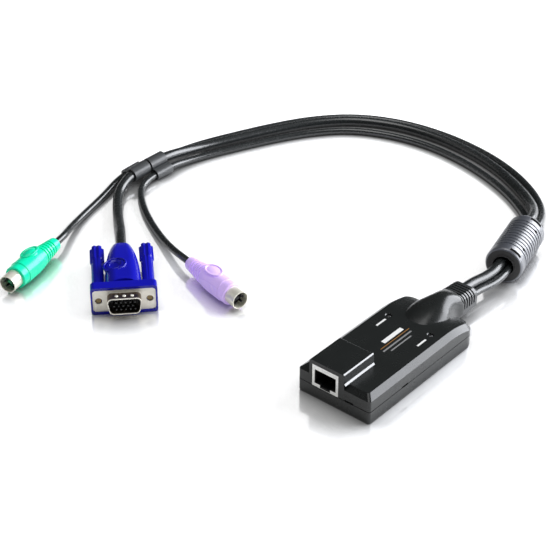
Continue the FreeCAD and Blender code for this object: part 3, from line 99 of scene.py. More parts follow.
# The camera: place and target in metres, focal length in pixels of the picture.
CAMERA_PLACE = (0.36163, -0.51831, 0.46567)
CAMERA_TARGET = (-0.089873, 0.013691, 0)
CAMERA_FOCAL = 1653.064
PICTURE_WIDTH = 550
SENSOR_WIDTH = 36

# Where the ferrite and the video plug stand, and their turns in degrees.
FERRITE_RADIUS = 9.85
FERRITE_CENTRE = (-3.0, 100.25, FERRITE_RADIUS)
FERRITE_TURN = 14.4
VIDEO_CENTRE = (-124.4, -59.3, 7.75)
VIDEO_TURN = 46.6

# What is painted on the ferrite's cover: painted shade in black in the slots and round
# holes at a place along it from its middle and at an angle in degrees from its top, and
# in its open ends; and paler paint in its grooves. The slots reach that far along the
# cover, and spread over that many radians each way.
SLOT_PLACE, SLOT_ANGLE = 16, 33
SLOT_REACH, SLOT_SPREAD = 1.05, 0.35
HOLE_PLACE, HOLE_ANGLE = 9.4, 48.5
HOLE_RADIUS_SQUARED = 1.3
END_RADIUS = 8.9
GROOVE_RADIUS = 9.68

# The round plugs: the end of the boot, the plug's turn, the slot of its plastic, the
# button's lean and rise, and the painted glow of the vinyl, though it is no lamp.
ROUND_PLUGS = {
    "mouse": ((-189, -44.8), 13, "green_plastic", -14, 1.5, (0, 0.1, 0.05)),
    "keyboard": ((-123.5, -12.75), 78, "purple_plastic", 0, 1.1, (0.12, 0.09, 0.25)),
}
# From the boot's end to the plug's face, the height of its axis, and how far the button
# lies behind the face and out from the axis.
PLUG_LENGTH = 35.5
PLUG_HEIGHT = 6.25
BUTTON_ALONG = 15.3
BUTTON_RADIUS = 5.9

# The sloping strips on the block: left side, underside and leg of their section, then
# their length and the middle of it.
BLOCK_STRIPS = {
    "block_foot": (5.75, 14.85, 0.85),
    "block_edge": (5.2, 20.3, 0.52),
}
STRIP_LENGTH = 21.5
STRIP_MIDDLE = -40.5

# The printing: its height on the roof, how thick it is and how round its corners are.
ROOF = 14.91
INK_THICKNESS = 0.05
INK_CORNER = 0.2

# The floor and the area lamps in metres. A lamp has a place, and its width and height.
# All of them face the same point.
FLOOR_SIZE = 8
FLOOR_MIDDLE = (-0.09, 0.1, 0)
SOFTBOXES = {
    "back_softbox": ((0.46, 0.84, 0.42), (1.35, 0.75)),
    "top_softbox": ((-0.2, -0.1, 1.25), (0.9, 0.9)),
    "side_fill": ((-0.95, -0.45, 0.5), (0.6, 0.6)),
    "floor_card": ((-1.1, 1.27, 1.05), (2.0, 1.8)),
}
LIT_POINT = (-0.08, 0.06, 0)
BACK_TINT = (0.93, 0.95, 1)


# ---------------------------------------------------------------- shader maths


class Field:
    """A number or colour that varies over a surface. Arithmetic adds Math nodes."""

    def __init__(self, finish, socket):
        self.finish = finish
        self.socket = socket

    def combine(self, operation, first, second):
        made = self.finish.node(
            "ShaderNodeMath", {"operation": operation}, {0: first, 1: second}
        )
        return self.finish.field(made)

    def __add__(self, other):
        return self.combine("ADD", self, other)

    def __radd__(self, other):
        return self.combine("ADD", other, self)

    def __sub__(self, other):
        return self.combine("SUBTRACT", self, other)

    def __rsub__(self, other):
        return self.combine("SUBTRACT", other, self)

    def __mul__(self, other):
        return self.combine("MULTIPLY", self, other)

    def __pow__(self, other):
        return self.combine("POWER", self, other)

    def above(self, level):
        return self.combine("GREATER_THAN", self, level)


class Finish:
    """One material's node tree."""

    def __init__(self, name):
        self.material = bpy.data.materials.new(name)
        self.material.use_nodes = True
        self.tree = self.material.node_tree
        self.tree.nodes.clear()
        self.output = self.node("ShaderNodeOutputMaterial")

    def node(self, kind, settings=None, sockets=None):
        """Adds a node: its settings first, then the values or links of its sockets."""
        made = self.tree.nodes.new(kind)
        for name, value in (settings or {}).items():
            if name == "stops":
                ramp = made.color_ramp
                while len(ramp.elements) < len(value):
                    ramp.elements.new(0.5)
                for stop, (place, colour) in zip(ramp.elements, value):
                    stop.position, stop.color = place, colour
            else:
                setattr(made, name, value)
        for name, value in (sockets or {}).items():
            if isinstance(value, Field):
                self.tree.links.new(value.socket, made.inputs[name])
            else:
                made.inputs[name].default_value = value
        return made

    def field(self, made, output=0):
        return Field(self, made.outputs[output])

    def spot(self):
        """Object coordinates."""
        return self.field(self.node("ShaderNodeTexCoord"), "Object")

    def local(self, centre, turn):
        """Millimetres across, along and above a piece that stands turned by degrees."""
        moved = self.node(
            "ShaderNodeMapping",
            {"vector_type": "TEXTURE"},
            {
                "Vector": self.spot(),
                "Location": [c * MM for c in centre],
                "Rotation": (0, 0, math.radians(turn)),
                "Scale": (MM, MM, MM),
            },
        )
        parts = self.node("ShaderNodeSeparateXYZ", {}, {"Vector": self.field(moved)})
        return [self.field(parts, axis) for axis in range(3)]

    def noise(self, size, detail, rough=0.5):
        """Soft noise from 0 to 1 whose blotches are about size metres."""
        made = self.node(
            "ShaderNodeTexNoise",
            {},
            {
                "Vector": self.spot(),
                "Scale": 1 / size,
                "Detail": detail,
                "Roughness": rough,
            },
        )
        return self.field(made)

    def openness(self, reach):
        """One in the open, falling to nothing where a shape within reach covers it."""
        made = self.node(
            "ShaderNodeAmbientOcclusion", {"samples": 8}, {"Distance": reach}
        )
        return self.field(made, "AO")

    def near(self, value, middle, reach):
        """One where a value lies within reach of a middle value, else nothing."""
        made = self.node(
            "ShaderNodeMath",
            {"operation": "COMPARE"},
            {0: value, 1: middle, 2: reach},
        )
        return self.field(made)

    def cells(self, size):
        """Distance to the nearest cell's middle."""
        made = self.node(
            "ShaderNodeTexVoronoi",
            {"feature": "F1"},
            {"Vector": self.spot(), "Scale": 1 / size},
        )
        return self.field(made, "Distance")

    def blend(self, share, first, second):
        """The first colour where share is nothing, the second where it is one."""
        made = self.node(
            "ShaderNodeMix",
            {"data_type": "RGBA"},
            {0: share, 6: rgba(first), 7: rgba(second)},
        )
        return self.field(made, 2)

    def ramp(self, value, *stops):
        """A value led through stops, each a place from 0 to 1 and its height."""
        made = self.node(
            "ShaderNodeValToRGB",
            {"stops": [(p, (v, v, v, 1)) for p, v in stops]},
            {"Fac": value},
        )
        return self.field(made)

    def bump(self, height, distance, strength, under=None):
        """The normal over a height field, which may lie on another bump."""
        sockets = {"Height": height, "Distance": distance, "Strength": strength}
        if under:
            sockets["Normal"] = under
        return self.field(self.node("ShaderNodeBump", {}, sockets))

    def shade(self, **sockets):
        """The Principled shader, joined to the output."""
        named = {k.replace("_", " "): v for k, v in sockets.items()}
        made = self.node("ShaderNodeBsdfPrincipled", {}, named)
        self.tree.links.new(made.outputs[0], self.output.inputs["Surface"])
        return self.material


def rgba(colour):
    """A colour as a socket takes it."""
    return colour if isinstance(colour, Field) else (*colour[:3], 1)


def scaled(colour, factor):
    """A lighter or darker colour."""
    return tuple(min(1, c * factor) for c in colour[:3])


# ---------------------------------------------------------------- finishes


def moulded_plastic(
    name, colour, gloss, grain=0.25, depth=0.02, ior=1.45, painted_glow=(0, 0, 0)
):
    """Moulded plastic: a fine spark-eroded grain, slight mottling, a few smudges, and a
    painted glow where one is given.
    """
    f = Finish(name)
    mottle = f.noise(9 * MM, 3)
    speckle = f.noise(grain * MM, 2, 0.6)
    smudge = f.ramp(f.noise(14 * MM, 4, 0.62), (0.42, 0), (0.7, 1))
    tone = f.blend(mottle, scaled(colour, 0.82), scaled(colour, 1.18))
    tone = f.blend(speckle * 0.25, tone, scaled(colour, 1.6))
    grainy = f.bump(speckle, depth * MM, 0.35)
    return f.shade(
        Base_Color=tone,
        Roughness=gloss + speckle * 0.05 + smudge * 0.07 - 0.03,
        Normal=f.bump(f.noise(5 * MM, 1), 0.05 * MM, 0.12, grainy),
        IOR=ior,
        # Painted glow: light given off by the plastic itself, though it is no lamp.
        Emission_Color=(*painted_glow, 1),
        Emission_Strength=1.0,
    )


def cable_jacket(name, colour):
    """Soft vinyl: a satin skin with faint drawing marks and dust in the pores."""
    f = Finish(name)
    pores = f.noise(0.15 * MM, 2, 0.6)
    waves = f.noise(6 * MM, 2)
    dust = f.ramp(f.noise(2.2 * MM, 5, 0.7), (0.55, 0), (0.78, 1))
    tone = f.blend(waves, scaled(colour, 0.8), scaled(colour, 1.3))
    tone = f.blend(dust * 0.06, tone, (0.22, 0.22, 0.21))
    return f.shade(
        Base_Color=tone,
        Roughness=0.24 + pores * 0.06 + dust * 0.05,
        Normal=f.bump(pores + waves * 0.8, 0.04 * MM, 0.05),
        IOR=1.75,
    )


def plated_metal(name, colour, gloss, metal=1.0):
    """Plated sheet or turned metal: fine tooling marks, dull patches, tiny specks."""
    f = Finish(name)
    marks = f.noise(0.5 * MM, 4, 0.65)
    haze = f.noise(3.5 * MM, 3)
    specks = f.ramp(f.noise(0.8 * MM, 2, 0.5), (0.66, 0), (0.74, 1))
    tone = f.blend(haze, scaled(colour, 0.86), scaled(colour, 1.08))
    tone = f.blend(specks * 0.5, tone, scaled(colour, 0.45))
    return f.shade(
        Base_Color=tone,
        Metallic=metal,
        Roughness=gloss + marks * 0.12 + specks * 0.2,
        Normal=f.bump(marks, 0.02 * MM, 0.3),
    )


def flanged_metal(name, colour):
    """The video plug's plating: pale on flange and front rim, dark brown between."""
    f = Finish(name)
    ahead = f.local(VIDEO_CENTRE, VIDEO_TURN)[1]
    # The ramp runs from 7 mm behind the plug's centre to 3 mm ahead of it.
    sides = f.ramp(ahead * 0.1 + 0.7, (0.12, 0), (0.17, 1), (0.62, 1), (0.68, 0))
    haze = f.noise(3 * MM, 3)
    tone = f.blend(haze, scaled(colour, 0.9), colour)
    return f.shade(
        Base_Color=f.blend(sides, tone, (0.2, 0.16, 0.12)),
        Metallic=sides * 0.65 + 0.3,
        Roughness=0.28 + haze * 0.1,
        Normal=f.bump(haze, 0.03 * MM, 0.2),
    )


def ribbed_cover(name, colour):
    """The ferrite's cover: satin plastic, paler in its grooves, with painted shade in
    black in its slots, holes and open ends."""
    f = Finish(name)
    across, lengthways, up = f.local(FERRITE_CENTRE, FERRITE_TURN)
    radius = (across * across + up * up) ** 0.5
    angle = f.field(
        f.node("ShaderNodeMath", {"operation": "ARCTAN2"}, {0: across, 1: up})
    )
    place = f.field(
        f.node("ShaderNodeMath", {"operation": "ABSOLUTE"}, {0: lengthways})
    )
    slot = f.near(place, SLOT_PLACE, SLOT_REACH)
    slot = slot * f.near(angle, math.radians(SLOT_ANGLE), SLOT_SPREAD)
    aside = (angle - math.radians(HOLE_ANGLE)) * FERRITE_RADIUS
    hole = ((place - HOLE_PLACE) ** 2 + aside**2).above(HOLE_RADIUS_SQUARED)
    hole = 1 - hole
    end = 1 - radius.above(END_RADIUS)
    # Painted shade: black in the slots, holes and open ends, where shade falls in them.
    black = 1 - (1 - slot) * (1 - hole) * (1 - end)
    groove = 1 - radius.above(GROOVE_RADIUS)
    grain = f.noise(0.3 * MM, 3, 0.6)
    tone = f.blend(grain, scaled(colour, 0.8), scaled(colour, 1.25))
    tone = f.blend(groove * 0.8, tone, scaled(colour, 2.6))
    return f.shade(
        Base_Color=f.blend(black, tone, (0.002, 0.002, 0.002)),
        Roughness=0.3 + grain * 0.08 + black * 0.45,
        Normal=f.bump(grain, 0.02 * MM, 0.3),
        IOR=2.0,
    )


def board_laminate(name, colour):
    """Solder mask over copper tracks and a glass weave."""
    f = Finish(name)
    tracks = f.cells(2.6 * MM)
    lines = f.ramp(tracks, (0.3, 0), (0.36, 1))
    weave = f.noise(0.4 * MM, 2)
    tone = f.blend(lines, scaled(colour, 0.7), scaled(colour, 1.5))
    return f.shade(
        Base_Color=f.blend(weave * 0.2, tone, scaled(colour, 2)),
        Roughness=0.3 + weave * 0.1,
        Normal=f.bump(lines + weave * 0.1, 0.03 * MM, 0.5),
        IOR=1.5,
    )


def lamp_lens(name, colour):
    """A small diffusing light guide, not lit."""
    f = Finish(name)
    frost = f.noise(0.25 * MM, 2)
    return f.shade(
        Base_Color=f.blend(frost, scaled(colour, 0.8), scaled(colour, 1.15)),
        Roughness=0.22 + frost * 0.15,
        Normal=f.bump(frost, 0.02 * MM, 0.4),
        Coat_Weight=0.6,
        Coat_Roughness=0.08,
    )


def ferrite_ceramic(name, colour):
    """Sintered ceramic: matt, dense and slightly pitted."""
    f = Finish(name)
    pits = f.noise(0.6 * MM, 5, 0.7)
    return f.shade(
        Base_Color=f.blend(pits, scaled(colour, 0.7), scaled(colour, 1.3)),
        Roughness=0.55 + pits * 0.25,
        Normal=f.bump(pits, 0.06 * MM, 0.6),
    )


def printed_ink(name, colour):
    """Pad printed ink: nearly flat, with a thin dry edge to its coverage."""
    f = Finish(name)
    cover = f.noise(0.3 * MM, 3, 0.6)
    return f.shade(
        Base_Color=f.blend(cover, scaled(colour, 0.85), colour),
        Roughness=0.45 + cover * 0.15,
        Normal=f.bump(cover, 0.01 * MM, 0.4),
    )


# ---------------------------------------------------------------- settings


def colour_of(name, about, default):
    return FloatVectorProperty(
        name=name,
        description=about,
        default=default,
        min=0,
        max=1,
        subtype="COLOR",
        size=3,
    )


def length_of(name, about, default):
    return FloatProperty(
        name=name,
        description=about,
        default=default * MM,
        min=0,
        unit="LENGTH",
        subtype="DISTANCE",
    )


class DongleColours(PropertyGroup):
    housing: colour_of(
        "Housing", "Black plastic of the housing shells", (0.011, 0.0125, 0.012)
    )
    jacket: colour_of("Jacket", "Vinyl of the three cables", (0.013, 0.0155, 0.016))
    clips: colour_of("Clips", "Plastic of the two cable clips", (0.045, 0.048, 0.05))
    cover: colour_of("Ferrite cover", "Cover of the ferrite", (0.052, 0.056, 0.067))
    relief: colour_of("Relief", "Ribbed strain relief", (0.03, 0.032, 0.033))
    video: colour_of(
        "Video plug", "Blue plastic of the video plug", (0.005, 0.006, 0.37)
    )
    mouse: colour_of(
        "Mouse plug", "Green plastic of the mouse plug", (0.004, 0.74, 0.4)
    )
    keyboard: colour_of(
        "Keyboard plug", "Purple plastic of the keyboard plug", (0.74, 0.52, 1.0)
    )
    nickel: colour_of("Nickel", "Plating of the plug shells", (0.76, 0.73, 0.67))
    tin: colour_of("Tin", "Plating of the network jack's shield", (0.8, 0.8, 0.78))
    gold: colour_of("Gold", "Plating of the contacts", (0.9, 0.66, 0.24))
    # The pins' dark colour is painted shade, where they sit deep in the plugs.
    pins: colour_of("Pins", "Worn plating of the plugs' pins", (0.08, 0.08, 0.08))


class CableSizes(PropertyGroup):
    video_thickness: length_of("Video cable", "Thickness of the video cable", 5.5)
    thin_thickness: length_of(
        "Thin cables", "Thickness of the keyboard and mouse cables", 3.8
    )
    video_length: length_of(
        "Video length", "Length of the video cable outside the housing", 474.8
    )
    keyboard_length: length_of(
        "Keyboard length", "Length of the keyboard cable outside the housing", 462.4
    )
    mouse_length: length_of(
        "Mouse length", "Length of the mouse cable outside the housing", 493.4
    )


class StudioSettings(PropertyGroup):
    floor_tone: FloatProperty(
        name="Floor tone",
        description="Reflectance of the floor",
        default=0.9,
        min=0,
        max=1,
        subtype="FACTOR",
    )
    back_softbox: FloatProperty(
        name="Back softbox",
        description="Brightness of the softbox behind at the right",
        default=9.0,
        min=0,
    )
    top_softbox: FloatProperty(
        name="Top softbox",
        description="Brightness of the softbox overhead",
        default=2.6,
        min=0,
    )
    side_fill: FloatProperty(
        name="Side fill",
        description="Brightness of the fill at the left",
        default=0.6,
        min=0,
    )
    floor_card: FloatProperty(
        name="Floor card",
        description="Brightness of the white card that only the floor mirrors",
        default=1.15,
        min=0,
    )
    room: FloatProperty(
        name="Room", description="Brightness of the room all round", default=0.06, min=0
    )


# ---------------------------------------------------------------- helpers


def paint(material, *names):
    """Puts a finish on CAD nodes."""
    for name in names:
        holder = nodes[name]
        if not holder.material_slots:
            holder.data.materials.append(None)
        for slot in holder.material_slots:
            slot.material = material


def settled(piece, name, material):
    """Names a finished piece, gives it its finish and puts it on its body."""
    piece.name = name
    piece.data.name = name
    piece.data.materials.clear()
    piece.data.materials.append(material)
    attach(piece, "adapter")
    return piece


def smoothed(degrees=35):
    """Smooth shading on the active piece, with its sharp edges kept."""
    bpy.ops.object.shade_smooth_by_angle(angle=math.radians(degrees))


def printed_bar(name, centre, size, ink):
    """A thin bar of printing with rounded corners, on the housing's roof."""
    bpy.ops.object.select_all(action="DESELECT")
    bpy.ops.mesh.primitive_cube_add(size=1)
    piece = bpy.context.object
    piece.scale = [c * MM for c in (*size, INK_THICKNESS)]
    bpy.ops.object.transform_apply(location=False, rotation=False, scale=True)
    bpy.ops.object.mode_set(mode="EDIT")
    bpy.ops.mesh.select_all(action="DESELECT")
    mesh = bmesh.from_edit_mesh(piece.data)
    for edge in mesh.edges:
        first, second = (v.co for v in edge.verts)
        edge.select_set(abs(first.z - second.z) > 0.5 * INK_THICKNESS * MM)
    bmesh.update_edit_mesh(piece.data)
    bpy.ops.mesh.bevel(offset=INK_CORNER * MM, segments=4, affect="EDGES")
    bpy.ops.object.mode_set(mode="OBJECT")
    piece.location = [c * MM for c in (*centre, ROOF)]
    bpy.ops.object.transform_apply(location=True, rotation=True, scale=True)
    smoothed()
    settled(piece, name, ink)


def placed(piece, origin, turn):
    """Turns and moves a piece modelled at the origin to its place, given in mm."""
    bpy.ops.object.select_all(action="DESELECT")
    piece.select_set(True)
    bpy.context.view_layer.objects.active = piece
    piece.rotation_euler.z = math.radians(turn)
    piece.location = [c * MM for c in origin]
    bpy.ops.object.transform_apply(location=True, rotation=True, scale=True)


def dome(centre, half_sizes, lean=0):
    """A flattened ball, modelled in mm, leaning about the plug's own axis."""
    bpy.ops.object.select_all(action="DESELECT")
    bpy.ops.mesh.primitive_uv_sphere_add(segments=48, ring_count=24, radius=1)
    return leaned(centre, half_sizes, lean)


def ring(centre, half_sizes, thickness, lean=0):
    """An oval ridge, modelled in mm, leaning about the plug's own axis."""
    bpy.ops.object.select_all(action="DESELECT")
    bpy.ops.mesh.primitive_torus_add(
        major_segments=64,
        minor_segments=12,
        major_radius=1,
        minor_radius=thickness / half_sizes[0],
    )
    return leaned(centre, (*half_sizes, half_sizes[0]), lean)


def leaned(centre, scale, lean):
    """Scales the new piece, leans it in degrees and moves it, all in mm."""
    piece = bpy.context.object
    piece.scale = [c * MM for c in scale]
    piece.rotation_euler.y = math.radians(lean)
    piece.location = [c * MM for c in centre]
    bpy.ops.object.transform_apply(location=True, rotation=True, scale=True)
    smoothed()
    return piece


def joined(pieces):
    """Makes one piece of several."""
    bpy.ops.object.select_all(action="DESELECT")
    for piece in pieces:
        piece.select_set(True)
    bpy.context.view_layer.objects.active = pieces[0]
    bpy.ops.object.join()
    return pieces[0]


def cable(name, route, thickness, material):
    """A round cable along a smooth route."""
    curve = bpy.data.curves.new(name, "CURVE")
    curve.dimensions = "3D"
    curve.resolution_u = 10
    curve.bevel_depth = thickness / 2
    curve.bevel_resolution = 5
    curve.use_fill_caps = True
    line = curve.splines.new("NURBS")
    line.points.add(len(route) - 1)
    for point, place in zip(line.points, route):
        point.co = (*(c * MM for c in place), 1)
    line.order_u = 3
    line.use_endpoint_u = True
    piece = bpy.data.objects.new(name, curve)
    bpy.context.scene.collection.objects.link(piece)
    return settled(piece, name, material)


def aimed(thing, place, target):
    """Puts a camera or lamp at a place and turns it to a target."""
    thing.location = place
    thing.rotation_euler = (
        (Vector(target) - Vector(place)).to_track_quat("-Z", "Y").to_euler()
    )


def softbox(name, radiance):
    """An area lamp of a given radiance: its size changes softness, not glare."""
    place, (width, height) = SOFTBOXES[name]
    lamp = bpy.data.lights.new(name, "AREA")
    lamp.shape = "RECTANGLE"
    lamp.size, lamp.size_y = width, height
    lamp.energy = radiance * width * height * math.pi
    holder = bpy.data.objects.new(name, lamp)
    bpy.context.scene.collection.objects.link(holder)
    aimed(holder, place, LIT_POINT)
    return holder


# ---------------------------------------------------------------- pieces


class DONGLE_OT_camera(Operator):
    """The camera at the photograph's viewing angle"""

    bl_idname = "dongle.camera"
    bl_label = "Camera"

    def execute(self, context):
        eye = bpy.data.cameras.new("camera")
        eye.sensor_fit = "HORIZONTAL"
        eye.sensor_width = SENSOR_WIDTH
        eye.lens = SENSOR_WIDTH * CAMERA_FOCAL / PICTURE_WIDTH
        eye.clip_start, eye.clip_end = 0.01, 20
        holder = bpy.data.objects.new("camera", eye)
        context.scene.collection.objects.link(holder)
        aimed(holder, CAMERA_PLACE, CAMERA_TARGET)
        context.scene.camera = holder
        return {"FINISHED"}


class DONGLE_OT_cables(Operator):
    """The video, keyboard and mouse cables"""

    bl_idname = "dongle.cables"
    bl_label = "Cables"

    def execute(self, context):
        sizes = context.scene.dongle_cables
        skin = cable_jacket("cable_vinyl", context.scene.dongle_colours.jacket)
        for name, route, thickness in (
            ("video", VIDEO_ROUTE, sizes.video_thickness),
            ("keyboard", KEYBOARD_ROUTE, sizes.thin_thickness),
            ("mouse", MOUSE_ROUTE, sizes.thin_thickness),
        ):
            piece = cable(f"{name}_cord", route, thickness, skin)
            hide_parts(f"{name}_cable")
        return {"FINISHED"}


class DONGLE_OT_cable_ends(Operator):
    """Leaves the cables' lengths and the pieces on them as they are"""

    bl_idname = "dongle.cable_ends"
    bl_label = "Cable ends"

    def execute(self, context):
        return {"FINISHED"}


class DONGLE_OT_housing(Operator):
    """The housing's shells, strain relief, lamps and what is inside"""

    bl_idname = "dongle.housing"
    bl_label = "Housing"

    def execute(self, context):
        colours = context.scene.dongle_colours
        paint(
            moulded_plastic("housing_plastic", colours.housing, 0.24, ior=1.48),
            "housing_top",
            "housing_bottom",
        )
        relief = moulded_plastic("relief_plastic", colours.relief, 0.2, ior=1.6)
        paint(relief, "strain_relief")
        paint(board_laminate("solder_mask", (0.01, 0.09, 0.03)), "circuit_board")
        chip = moulded_plastic("chip_epoxy", (0.02, 0.02, 0.021), 0.5, 0.15)
        paint(chip, "main_chip", "support_chip")
        paint(plated_metal("can_steel", colours.nickel, 0.25), "crystal", "capacitor")
        paint(moulded_plastic("header_nylon", (0.75, 0.73, 0.68), 0.4), "wire_header")
        paint(moulded_plastic("lead_vinyl", (0.35, 0.03, 0.02), 0.35), "lead_wires")
        lens = lamp_lens("lamp_guide", (0.03, 0.03, 0.03))
        paint(lens, "online_lamp", "power_lamp")
        return {"FINISHED"}


class DONGLE_OT_block_trim(Operator):
    """The sloping strips along the foot and the upper edge of the raised block"""

    bl_idname = "dongle.block_trim"
    bl_label = "Block trim"

    def execute(self, context):
        colours = context.scene.dongle_colours
        plastic = moulded_plastic("trim_plastic", colours.relief, 0.2, ior=1.95)
        for name, (left, floor, leg) in BLOCK_STRIPS.items():
            bpy.ops.object.select_all(action="DESELECT")
            bpy.ops.mesh.primitive_cube_add(size=1)
            strip = context.object
            middle = (left + leg / 2, STRIP_MIDDLE, floor + leg / 2)
            strip.scale = [c * MM for c in (leg, STRIP_LENGTH, leg)]
            strip.location = [c * MM for c in middle]
            bpy.ops.object.transform_apply(location=True, rotation=True, scale=True)
            bpy.ops.object.mode_set(mode="EDIT")
            bpy.ops.mesh.select_all(action="SELECT")
            bpy.ops.mesh.bisect(
                plane_co=[c * MM for c in middle],
                plane_no=(1, 0, 1),
                use_fill=True,
                clear_outer=True,
            )
            bpy.ops.object.mode_set(mode="OBJECT")
            smoothed(20)
            settled(strip, name, plastic)
        return {"FINISHED"}


class DONGLE_OT_print(Operator):
    """Plain printed bars on the housing's roof and beside the lamps"""

    bl_idname = "dongle.print"
    bl_label = "Printed bars"

    def execute(self, context):
        white = printed_ink("white_ink", (0.85, 0.85, 0.83))
        orange = printed_ink("orange_ink", (0.3, 0.13, 0.02))
        grey = printed_ink("grey_ink", (0.25, 0.25, 0.25))
        for name, centre, size, ink in (
            ("left_lamp_bar", (-11.4, -1.6), (1.0, 7.0), white),
            ("right_lamp_bar", (12.9, -2.6), (1.0, 6.6), white),
            ("wide_bar", (-0.9, -6.6), (2.3, 14.6), white),
            ("thin_bar", (1.6, -8.0), (0.4, 22.0), orange),
            ("first_line", (3.6, -8.8), (0.8, 21.5), grey),
            ("second_line", (5.9, -8.9), (0.7, 15.5), grey),
        ):
            printed_bar(name, centre, size, ink)
        return {"FINISHED"}


class DONGLE_OT_network_jack(Operator):
    """The network jack's shield, insert and contacts"""

    bl_idname = "dongle.network_jack"
    bl_label = "Network jack"

    def execute(self, context):
        colours = context.scene.dongle_colours
        paint(plated_metal("jack_tinplate", colours.tin, 0.2), "jack_shield")
        paint(moulded_plastic("jack_nylon", (0.009, 0.009, 0.01), 0.35), "jack_insert")
        paint(plated_metal("contact_gold", colours.gold, 0.16), "jack_contacts")
        return {"FINISHED"}


class DONGLE_OT_ferrite(Operator):
    """The ferrite's core and its moulded cover"""

    bl_idname = "dongle.ferrite"
    bl_label = "Ferrite"

    def execute(self, context):
        colours = context.scene.dongle_colours
        paint(ribbed_cover("cover_plastic", colours.cover), "ferrite_cover")
        paint(ferrite_ceramic("core_ceramic", (0.03, 0.03, 0.032)), "ferrite_core")
        return {"FINISHED"}


class DONGLE_OT_clips(Operator):
    """The two clips that hold the cables together"""

    bl_idname = "dongle.clips"
    bl_label = "Cable clips"

    def execute(self, context):
        colours = context.scene.dongle_colours
        plastic = moulded_plastic("clip_plastic", colours.clips, 0.34, ior=1.6)
        paint(plastic, "upper_clip", "lower_clip")
        return {"FINISHED"}


class DONGLE_OT_video_plug(Operator):
    """The video plug: hood, shell, insulator, pins and thumbscrews"""

    bl_idname = "dongle.video_plug"
    bl_label = "Video plug"

    def execute(self, context):
        colours = context.scene.dongle_colours
        blue = moulded_plastic("video_plastic", colours.video, 0.2, 0.2, 0.012)
        paint(blue, "video_hood", "left_knob", "right_knob")
        bright = (0.99, 0.95, 0.84)
        shell = plated_metal("shell_nickel", bright, 0.3, 0.4)
        paint(flanged_metal("flange_nickel", bright), "video_shell")
        lean = -11
        pad = joined(
            [
                ring((-3.7, 21.9, 6.4), (5.6, 5.2), 0.55, lean),
                ring((-3.7, 21.9, 5.95), (3.1, 2.9), 0.5, lean),
            ]
        )
        placed(pad, VIDEO_CENTRE, VIDEO_TURN)
        settled(pad, "hood_pad", blue)
        dimples = joined(
            [dome((step, -3.4, 4.5), (0.95, 0.95, 0.5)) for step in (-3.8, 0, 3.8)]
        )
        placed(dimples, VIDEO_CENTRE, VIDEO_TURN)
        settled(dimples, "shell_dimples", shell)
        insulator = moulded_plastic("insulator_nylon", (0.01, 0.01, 0.011), 0.35)
        paint(insulator, "video_insulator")
        paint(plated_metal("pin_nickel", colours.pins, 0.5), "video_pins")
        steel = plated_metal("screw_steel", (0.2, 0.15, 0.08), 0.35)
        paint(steel, "left_screw", "right_screw")
        return {"FINISHED"}


class DONGLE_OT_round_plugs(Operator):
    """The keyboard and mouse plugs"""

    bl_idname = "dongle.round_plugs"
    bl_label = "Round plugs"

    def execute(self, context):
        colours = context.scene.dongle_colours
        for plug, (boot, turn, slot, lean, rise, painted_glow) in ROUND_PLUGS.items():
            colour = getattr(colours, plug)
            # The vinyl's painted glow makes the plug seem lit, though it is no lamp.
            plastic = moulded_plastic(
                f"{plug}_plastic", colour, 0.25, 0.2, 0.012, painted_glow=painted_glow
            )
            paint(plastic, f"{plug}_plug_body")
            angle, tilt = math.radians(turn), math.radians(lean)
            front = (
                boot[0] + PLUG_LENGTH * math.sin(angle),
                boot[1] - PLUG_LENGTH * math.cos(angle),
                PLUG_HEIGHT,
            )
            side, up = BUTTON_RADIUS * math.sin(tilt), BUTTON_RADIUS * math.cos(tilt)
            button = dome((side, BUTTON_ALONG, up), (3.2, 4.7, rise), lean)
            rim = ring(
                (side * 1.06, BUTTON_ALONG, up * 1.06), (3.6, 5.3), 0.55, lean
            )
            pad = joined([button, rim])
            placed(pad, front, turn)
            settled(pad, f"{plug}_pad", plastic)
        shell = plated_metal("plug_nickel", (0.99, 0.94, 0.8), 0.26, 0.45)
        pins = plated_metal("plug_pins_nickel", colours.pins, 0.5)
        paint(shell, "mouse_plug_shell", "keyboard_plug_shell")
        paint(pins, "mouse_plug_pins", "keyboard_plug_pins")
        green = moulded_plastic("mouse_insert_nylon", (0.008, 0.3, 0.12), 0.35)
        paint(green, "mouse_plug_insert")
        black = moulded_plastic("keyboard_insert_nylon", (0.01, 0.01, 0.012), 0.35)
        paint(black, "keyboard_plug_insert")
        return {"FINISHED"}


